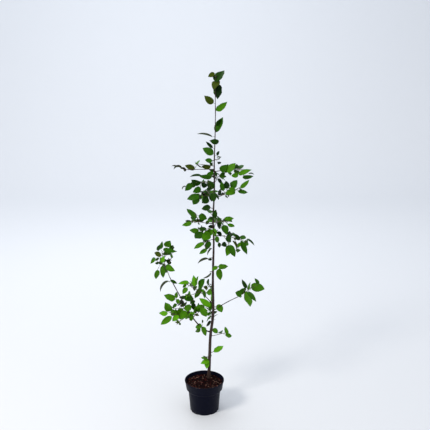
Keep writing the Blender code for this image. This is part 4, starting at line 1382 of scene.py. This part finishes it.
barkColours = {
    "low": "#3d2e28",
    "high": "#2c1d1c",
    "dark": "#190f0e",
    "pore": "#4a3a32",
    "turns": (0.12, 0.75),  # heights between which the low tone turns into the high one
    "stretch": 0.14,
    "streakScale": 1 / (2.2 * mm),  # streaks 2 mm wide
    "streakEdges": (0.42, 0.66),
    "streakShare": 0.6,
    "satin": (0.5, 0.8),
    "fineScale": 1 / (0.8 * mm),
    "fineBump": (0.5, 0.25 * mm),  # strength and depth
}


# Living hornbeam bark: smooth and thin, grey-brown below, purple-brown on the young wood, with pale pores
def makeBark(name, lowTone):
    material, tree, shader = newMaterial(name, roughness=0.62, ior=1.45, specular=0.3)
    look = barkColours
    coords = objectCoords(tree)
    high = remap(tree, heightOf(tree, coords), *look["turns"], interpolation_type="SMOOTHSTEP")
    base = blend(tree, high, hexColour(lowTone), hexColour(look["high"]))
    stretched = {"Vector": coords, "Scale": (1, 1, look["stretch"])}
    grain = addNode(tree, "ShaderNodeMapping", {}, stretched).outputs["Vector"]
    streak = speckle(tree, grain, look["streakScale"], detail=3.0, roughness=0.6)
    deep = calculate(tree, "MULTIPLY", remap(tree, streak, *look["streakEdges"]), look["streakShare"])
    streaked = blend(tree, deep, base, hexColour(look["dark"]))
    pores = addNode(tree, "ShaderNodeAttribute", {"attribute_name": "pores"}, {}).outputs["Fac"]
    feed(shader, "Base Color", blend(tree, pores, streaked, hexColour(look["pore"])))
    feed(shader, "Roughness", remap(tree, streak, 0.0, 1.0, *look["satin"]))
    bumpFrom(tree, shader, speckle(tree, grain, look["fineScale"]), *look["fineBump"])
    return material


def buildTrunk():
    rule = barkRelief
    stem, leader = limbs["trunk"], masses[0]["stem"]
    points = [stem.points[0] - up * rule["runOn"] * mm] + stem.points + leader.points[1:]
    radii = [stem.radii[0] * rule["runOnSwell"]] + stem.radii + leader.radii[1:]
    trunk = drawLimbs("trunkBark", [(points, radii)], rule["trunkSides"], rule["trunkBetween"])
    spreadRoots(trunk)
    carveBark(trunk, 1.0, rule["poreCount"])
    dress(trunk, [makeBark("smoothHornbeamBark", barkColours["low"])], rule["smooth"])
    finishPiece(trunk, ["trunk"])


def buildBoughs():
    rule = barkRelief
    lines = []
    for row in boughRows:
        deep = trunkRadius(row["height"]) * rootRule["deep"]
        lines.append(rooted(limbs[row["name"]], deep, rootRule["boughSwell"]))
    boughs = drawLimbs("boughBark", lines, rule["boughSides"], rule["boughBetween"])
    carveBark(boughs, rule["boughRelief"], rule["boughPores"])
    dress(boughs, [makeBark("youngHornbeamBark", barkColours["high"])], rule["smooth"])
    finishPiece(boughs, [row["name"] for row in boughRows])


buildTrunk()
buildBoughs()
print("trunk and boughs")

twigLook = {
    "sides": 8,
    "between": 4,
    "nodeSwell": 1.28,  # the stem is thicker where a leaf leaves it
    "nodeLong": 0.45,
    "tipThin": 0.8,
    "smooth": 60,
    "young": "#4c4a26",
    "old": "#3f2c26",
    "fleckScale": 90.0,
    "fleckEdges": (0.35, 0.7),
}


# Young twigs: thin skin, red-brown with green patches, a little glossy
def makeTwigSkin():
    material, tree, shader = newMaterial("youngTwigSkin", roughness=0.48, ior=1.45, specular=0.4)
    fleck = speckle(tree, objectCoords(tree), twigLook["fleckScale"])
    tint = remap(tree, fleck, *twigLook["fleckEdges"])
    feed(shader, "Base Color", blend(tree, tint, hexColour(twigLook["old"]), hexColour(twigLook["young"])))
    return material


# Swells a line at its inner knots
def withNodes(points, radii):
    newPoints, newRadii = [points[0]], [radii[0]]
    for i in range(1, len(points) - 1):
        newPoints += [points[i], points[i].lerp(points[i + 1], twigLook["nodeLong"])]
        newRadii += [radii[i] * twigLook["nodeSwell"], (radii[i] + radii[i + 1]) / 2]
    return newPoints + [points[-1]], newRadii + [radii[-1] * twigLook["tipThin"]]


# The stem of a mass, sunk into its trunk or bough
def rootedStem(mass):
    row = mass["row"]
    if row["place"] == 1.0:
        deep = rootRule["endDeep"]
    elif row["carrier"] == "trunk":
        deep = trunkRadius(row["place"] * mm) * rootRule["deep"]
    else:
        deep = limbs[row["carrier"]].atShare(row["place"])[2] * rootRule["deep"]
    return rooted(mass["stem"], deep, rootRule["twigSwell"])


def buildTwigs():
    lines = []
    for mass in masses:
        if mass["row"]["length"] > 0:
            lines.append(withNodes(*rootedStem(mass)))
        lines += [withNodes(twig.points, twig.radii) for twig in mass["twigs"]]
        lines += [(shoot.points, shoot.radii) for shoot in mass["shoots"]]
    twigs = drawLimbs("twigs", lines, twigLook["sides"], twigLook["between"])
    dress(twigs, [makeTwigSkin()], twigLook["smooth"])
    finishPiece(twigs)


budLook = {
    "long": 4.6 * mm,
    "thick": 0.95 * mm,
    "profile": ((0.0, 0.5), (0.2, 0.95), (0.45, 1.0), (0.75, 0.6)),  # shares of the length and the radius
    "sides": 5,
    "sizes": (0.75, 1.15),
    "leafLeast": 0.5,  # smaller leaves, as a share of their mass's, have no bud
    "lean": 0.45,
    "out": 0.4,  # mm
    "seed": 9,
    "smooth": 60,
    "tone": "#5c4530",
}


# Slim pointed buds in the leaf axils, all in one mesh
def buildBuds():
    look, sides = budLook, budLook["sides"]
    rng = random.Random(look["seed"])
    points, faces = [], []
    for leaf in [leaf for mass in masses for leaf in mass["leaves"]
                 if leaf["blade"] >= look["leafLeast"] * mass["row"]["leaf"]]:
        way = (leaf["along"] + leaf["way"] * look["lean"]).normalized()
        guide = way.orthogonal().normalized()
        other = way.cross(guide)
        long = look["long"] * rng.uniform(*look["sizes"])
        start = len(points)
        foot = leaf["foot"] + way * look["out"] * mm
        for along, size in look["profile"]:
            for k in range(sides):
                angle = 2 * math.pi * k / sides
                turn = guide * math.cos(angle) + other * math.sin(angle)
                points.append((foot + way * along * long + turn * size * look["thick"])[:])
        points.append((foot + way * long)[:])
        faces.append(tuple(start + k for k in range(sides))[::-1])
        last = len(points) - 1 - sides
        for a in range(start, last, sides):
            b = a + sides
            faces += [(a + k, a + (k + 1) % sides, b + (k + 1) % sides, b + k) for k in range(sides)]
        faces += [(last + k, last + (k + 1) % sides, len(points) - 1) for k in range(sides)]
    buds = meshObject("buds", points, faces)
    # Papery brown scales, a little shiny
    scales = newMaterial("budScales", roughness=0.5, ior=1.45, tone=look["tone"])[0]
    dress(buds, [scales], look["smooth"])
    finishPiece(buds)


buildTwigs()
buildBuds()
print("twigs and buds")

# Painted light: the first five are one green leaf painted from shaded to lit; olive, grey and dry are the
# leaves' own colours
leafTones = {
    shaded: ("shadedFoliage", "#092402", "leaf_dark"),
    dark: ("darkShadedFoliage", "#183903", "leaf_dark"),
    middle: ("halfLitFoliage", "#275404", "leaf_mid"),
    lit: ("litFoliage", "#3e7207", "leaf_mid"),
    bright: ("brightLitFoliage", "#56970e", "leaf_bright"),
    olive: ("oliveFoliage", "#364406", "leaf_olive"),
    grey: ("greyFoliage", "#3c4130", "leaf_dark"),
    dry: ("dryFoliage", "#1f1a10", "leaf_dark"),
}
leafSkin = {
    "satin": 0.46,
    "dull": 0.62,
    "mapWide": 0.45,  # from the midrib to the edge
    "under": "#365a18",
    "blotchScale": 1 / (18 * mm),
    "blotches": (0.82, 1.16),
    "veins": 13.0,
    "veinSlant": -0.55,
    "veinEdges": (0.09, 0.0),
    "midribEdges": (0.035, 0.012),
    "veinPale": (2.1, (0.018, 0.03, 0.01)),  # how much paler than the blade: a factor, and what is added
    "veinShare": 0.32,
    "underVeins": 0.2,
    "veinBump": (0.6, 0.5 * mm),  # strength and depth
    "smooth": 50,
    "stalk": "#3d4a1c",
    "stalkSides": 6,
    "stalkBetween": 3,
    "stalkSmooth": 60,
}


# Hornbeam leaf: thin, satin on top, with a pale midrib and close straight side veins; dull and paler below
def makeLeafSkin(name, tone, roughness, veinShare):
    material, tree, shader = newMaterial(name, roughness, ior=1.45, specular=0.07)
    look = leafSkin
    coords = addNode(tree, "ShaderNodeTexCoord", {}, {})
    plain = mottle(tree, tone, coords.outputs["Object"], look["blotchScale"], *look["blotches"])
    place = addNode(tree, "ShaderNodeSeparateXYZ", {}, {0: coords.outputs["UV"]})
    across = calculate(tree, "ABSOLUTE", calculate(tree, "SUBTRACT", place.outputs["X"], 0.5))
    run = calculate(tree, "ADD", place.outputs["Y"], calculate(tree, "MULTIPLY", across, look["veinSlant"]))
    saw = calculate(tree, "PINGPONG", calculate(tree, "MULTIPLY", run, look["veins"]), 0.5)
    sideVein, midrib = remap(tree, saw, *look["veinEdges"]), remap(tree, across, *look["midribEdges"])
    share = calculate(tree, "MULTIPLY", calculate(tree, "MAXIMUM", sideVein, midrib), veinShare)
    factor, added = look["veinPale"]
    pale = [min(1.0, part * factor + more) for part, more in zip(hexColour(tone), added)]
    feed(shader, "Base Color", blend(tree, share, plain, (*pale, 1.0)))
    bumpFrom(tree, shader, saw, *look["veinBump"])
    return material


def buildFoliage(tone, chosen, underSkin):
    name, colour, slotName = leafTones[tone]
    net = netUpper + netLower
    wide = leafSkin["mapWide"]
    netMap = [(0.5 + wide * netPoints[k][1], netPoints[k][0]) for face in net for k in face]
    points, faces, slots = [], [], []
    for _, leaf in chosen:
        start = len(points)
        points += leaf["spots"].tolist()
        faces += [tuple(start + k for k in face) for face in net]
        slots += [0] * len(netUpper) + [1] * len(netLower)
    foliage = meshObject(name, points, faces)
    layer = foliage.data.uv_layers.new(name="leafMap")
    layer.data.foreach_set("uv", np.array(netMap * len(chosen), dtype=np.float32).ravel())
    skin = makeLeafSkin(name + "Skin", colour, leafSkin["satin"], leafSkin["veinShare"])
    dress(foliage, [skin, underSkin], leafSkin["smooth"])
    foliage.data.polygons.foreach_set("material_index", slots)
    finishPiece(foliage, sorted({massName for massName, _ in chosen}))


def buildLeaves():
    look = leafSkin
    underSkin = makeLeafSkin("leafUnderside", look["under"], look["dull"], look["underVeins"])
    every = [(mass["row"]["name"], leaf) for mass in masses for leaf in mass["leaves"]]
    for tone in leafTones:
        chosen = [pair for pair in every if pair[1]["tone"] == tone]
        if chosen:
            buildFoliage(tone, chosen, underSkin)
    lines = [stalkLine(leaf) for _, leaf in every]
    stalks = drawLimbs("leafStalks", lines, look["stalkSides"], look["stalkBetween"])
    # Soft, dark green, slightly shiny
    skin = newMaterial("leafStalkSkin", roughness=0.5, ior=1.45, tone=look["stalk"])[0]
    dress(stalks, [skin], look["stalkSmooth"])
    finishPiece(stalks)


buildLeaves()
print("leaves")

pot = {
    "height": 127 * mm,
    "footR": 57.5 * mm,
    "waistR": 64.5 * mm,
    "collarR": 73.0 * mm,
    "lipR": 79.0 * mm,
    "waistZ": 84 * mm,
    "collarZ": 93 * mm,
    "wall": 1.5 * mm,
    "floor": 3.0 * mm,
    "floorTurn": (8 * mm, 7.9 * mm),  # where the wall turns in to the floor's ring, above the floor
    "lipDrop": 3.5 * mm,
    "lipOut": 1.2 * mm,
    "lipDraft": 0.3 * mm,
    "waistStep": 0.5 * mm,
    "sides": 96,
    "notches": 8,
    "notchWide": 15 * mm,
    "notchHigh": 4.0 * mm,
    "notchDeep": 1.6 * mm,
    "notchBlock": 6 * mm,
    "footRing": 4.5 * mm,
    "edgeRound": 0.5 * mm,
    "edgeSteps": 2,
    "edgeAngle": 30,
    "smooth": 32,
    # Near-black plastic with a blue cast that is a painted reflection of the pale air; the dust is paler
    # and carries the same painted cast
    "plastic": "#040618",
    "dust": "#0b0e20",
    "scuffScale": 1 / (22 * mm),
    "scuffs": (0.5, 0.8, 0.0, 0.5),  # where in the cloud the dust starts and ends, and how much is there
    "lowDust": 0.35,
    "lowDustHigh": 0.03,
    "satin": (0.34, 0.62),
    "grainScale": 1 / (0.9 * mm),
    "grainBump": (0.25, 0.15 * mm),  # strength and depth
}


# A filled circle that a round wall is raised from
def addDisk(name, sides, radius, z):
    bpy.ops.mesh.primitive_circle_add(vertices=sides, radius=radius, fill_type="NGON", location=(0, 0, z))
    item = bpy.context.object
    item.name = name
    return item


# Radius and height of each ring, from the foot up the outside, over the lip and down to the floor
def potRings():
    p = pot
    lipFoot = p["height"] - p["lipDrop"]
    bodyLip = p["lipR"] - p["lipOut"]
    inside = p["footR"] - p["footRing"]
    return [
        (p["footR"], 0.0),
        (p["waistR"], p["waistZ"]),
        (p["collarR"], p["collarZ"]),
        (bodyLip - p["lipDraft"], lipFoot),
        (p["lipR"], lipFoot),
        (p["lipR"], p["height"]),
        (bodyLip - p["wall"], p["height"]),
        (p["collarR"] - p["wall"], p["collarZ"] + p["wall"]),
        (p["waistR"] - p["wall"], p["waistZ"] + p["waistStep"]),
        (p["footR"] - p["wall"], p["floor"] + p["floorTurn"][0]),
        (inside, p["floor"] + p["floorTurn"][1]),
        (inside, p["floor"]),
    ]


# Cuts a small drainage notch into the foot
def cutNotch(item, angle):
    p = pot
    reach = p["footR"] - p["notchDeep"] + p["notchBlock"] / 2
    spot = (reach * math.cos(angle), reach * math.sin(angle), 0)
    size = (p["notchBlock"], p["notchWide"], 2 * p["notchHigh"])
    bpy.ops.mesh.primitive_cube_add(size=1, location=spot, rotation=(0, 0, angle), scale=size)
    block = bpy.context.object
    pickOnly(item)
    cut = item.modifiers.new("Notch", "BOOLEAN")
    cut.operation = "DIFFERENCE"
    cut.solver = "EXACT"
    cut.object = block
    bpy.ops.object.modifier_apply(modifier="Notch")
    bpy.data.objects.remove(block, do_unlink=True)


def buildPot():
    p = pot
    item = addDisk("nurseryPot", p["sides"], p["footR"], 0)
    raiseRim(item, potRings())
    closeMesh()
    for n in range(p["notches"]):
        cutNotch(item, 2 * math.pi * (n + 0.5) / p["notches"])
    rounding = item.modifiers.new("Edges", "BEVEL")
    rounding.width = p["edgeRound"]
    rounding.segments = p["edgeSteps"]
    rounding.limit_method = "ANGLE"
    rounding.angle_limit = math.radians(p["edgeAngle"])
    pickOnly(item)
    bpy.ops.object.modifier_apply(modifier="Edges")
    dress(item, [makePotPlastic()], p["smooth"])
    finishPiece(item, ["pot"])


# Injection-moulded black polypropylene: satin, with a fine grain, dull scuffs and a little dust; the blue
# cast of the black and of the dust is a painted reflection of the pale air
def makePotPlastic():
    material, tree, shader = newMaterial("mouldedBlackPolypropylene", roughness=0.45, ior=1.49,
                                         specular=0.07)
    p = pot
    coords = objectCoords(tree)
    cloud = speckle(tree, coords, p["scuffScale"], detail=5.0)
    low = remap(tree, heightOf(tree, coords), p["lowDustHigh"], 0.0)
    lowDust = calculate(tree, "MULTIPLY", low, p["lowDust"])
    dust = calculate(tree, "MAXIMUM", remap(tree, cloud, *p["scuffs"]), lowDust)
    feed(shader, "Base Color", blend(tree, dust, hexColour(p["plastic"]), hexColour(p["dust"])))
    feed(shader, "Roughness", remap(tree, cloud, 0.0, 1.0, *p["satin"]))
    bumpFrom(tree, shader, speckle(tree, coords, p["grainScale"]), *p["grainBump"])
    return material


buildPot()
print("pot")

compost = {
    "z": 113 * mm,
    "radius": 75.2 * mm,
    "level": 0.96,  # beyond this share of the radius the relief fades out
    "sides": 96,
    "rings": 44,
    "lumps": 1.5 * mm,
    "lumpSize": 17 * mm,
    "lumpLayer": 3.0,
    "crumbs": 0.9 * mm,
    "crumbSize": 3.6 * mm,
    "crumbLayer": 8.0,
    "bottomZ": 4 * mm,
    "bottomR": 52.5 * mm,
    "smooth": 60,
    "dark": "#0b0506",
    "brown": "#1a0b0c",
    "gritScale": 1 / (2.5 * mm),
    "gritEdges": (0.4, 0.68),
    "gritBump": (0.8, 0.8 * mm),  # strength and depth
}


def compostHeight(x, y):
    c = compost
    lump = noise.noise((x / c["lumpSize"], y / c["lumpSize"], c["lumpLayer"])) * c["lumps"]
    crumb = noise.noise((x / c["crumbSize"], y / c["crumbSize"], c["crumbLayer"])) * c["crumbs"]
    return c["z"] + lump + crumb


# Moist compost of fine bark: rough, dark and red-brown
def compostSkin():
    material, tree, shader = newMaterial("moistBarkCompost", roughness=0.95, ior=1.4, specular=0.06)
    c = compost
    grit = speckle(tree, objectCoords(tree), c["gritScale"], detail=4.0)
    tint = remap(tree, grit, *c["gritEdges"])
    feed(shader, "Base Color", blend(tree, tint, hexColour(c["dark"]), hexColour(c["brown"])))
    bumpFrom(tree, shader, grit, *c["gritBump"])
    return material


def buildCompost():
    c = compost
    item = addDisk("compostBody", c["sides"], c["radius"], c["z"])
    editMode(item)
    bpy.ops.mesh.select_all(action="SELECT")
    for k in range(c["rings"] - 1):
        bpy.ops.mesh.inset(thickness=c["radius"] / c["rings"], use_even_offset=False)
    bpy.ops.object.mode_set(mode="OBJECT")
    for vertex in item.data.vertices:
        spot = vertex.co + item.location
        out = spot.xy.length / c["radius"]
        settle = 1 - max(0.0, (out - c["level"]) / (1 - c["level"]))
        vertex.co.z = (compostHeight(spot.x, spot.y) - c["z"]) * settle
    inset = pot["wall"] + gap
    raiseRim(item, [
        (c["radius"], c["z"]),
        (pot["collarR"] - inset, pot["collarZ"] + pot["wall"]),
        (pot["waistR"] - inset, pot["waistZ"]),
        (c["bottomR"], c["bottomZ"]),
    ])
    closeMesh()
    bpy.ops.object.transform_apply(location=True, rotation=True, scale=True)
    dress(item, [compostSkin()], c["smooth"])
    finishPiece(item, ["soil"])


chipSizes = (1.8 * mm, 6.0 * mm)
fleckSizes = (1.6 * mm, 3.6 * mm)
chipLook = {
    # name: how many, sizes, seed, flatness, tone
    "barkChips": (475, chipSizes, 17, 0.45, "#26100f"),
    "darkChips": (475, chipSizes, 18, 0.5, "#0f0708"),
    "redFlecks": (130, fleckSizes, 20, 0.6, "#7a3430"),
    "paleFlecks": (130, fleckSizes, 19, 0.6, "#b08c7c"),
}
chipRule = {
    "edgeClear": 3 * mm,
    "trunkClear": 8 * mm,
    "lean": 0.6,
    "wide": 0.6,
    "raised": 0.5,  # share of the half thickness that the middle lies above the surface
    "jogs": (0.55, 1.1),  # how far each corner is from the middle, as a share of the usual
    "smooth": 30,
    "fibreScale": 1 / (1.2 * mm),
    "shades": (0.7, 1.25),
}


# Irregular chips pressed into the surface, each a squashed block with its corners moved
def scatterChips(name, count, sizes, seed, flatness):
    rule, lean = chipRule, chipRule["lean"]
    rng = random.Random(seed)
    corners = [(x, y, z) for x in (-1, 1) for y in (-1, 1) for z in (-1, 1)]
    blockFaces = ((0, 1, 3, 2), (4, 6, 7, 5), (0, 4, 5, 1), (2, 3, 7, 6), (0, 2, 6, 4), (1, 5, 7, 3))
    trunkFoot = smoothBend(trunkSizes["footZ"])
    points, faces = [], []
    while len(faces) < count * len(blockFaces):
        angle = rng.uniform(0, 2 * math.pi)
        out = math.sqrt(rng.random()) * (compost["radius"] - rule["edgeClear"])
        x, y = out * math.cos(angle), out * math.sin(angle)
        if math.hypot(x - trunkFoot.x, y - trunkFoot.y) < rule["trunkClear"]:
            continue
        size = rng.uniform(*sizes) / 2
        turn = rng.uniform(0, 2 * math.pi)
        top = Vector((rng.uniform(-lean, lean), rng.uniform(-lean, lean), 1)).normalized()
        along = Vector((math.cos(turn), math.sin(turn), 0))
        along = (along - top * along.dot(top)).normalized()
        other = top.cross(along)
        centre = Vector((x, y, compostHeight(x, y) + size * flatness * rule["raised"]))
        start = len(points)
        for cx, cy, cz in corners:
            jog = [rng.uniform(*rule["jogs"]) for _ in range(3)]
            spot = centre + along * cx * size * jog[0] + other * cy * size * rule["wide"] * jog[1]
            points.append((spot + top * cz * size * flatness * jog[2])[:])
        faces += [tuple(start + k for k in face) for face in blockFaces]
    return meshObject(name, points, faces)


def buildChips():
    for name, (count, sizes, seed, flatness, tone) in chipLook.items():
        chips = scatterChips(name, count, sizes, seed, flatness)
        # Dull, fibrous pieces
        material, tree, shader = newMaterial(name + "Skin", roughness=0.9, ior=1.4, specular=0.08)
        colour = mottle(tree, tone, objectCoords(tree), chipRule["fibreScale"], *chipRule["shades"])
        feed(shader, "Base Color", colour)
        dress(chips, [material], chipRule["smooth"])
        finishPiece(chips)


buildCompost()
buildChips()
print("compost")
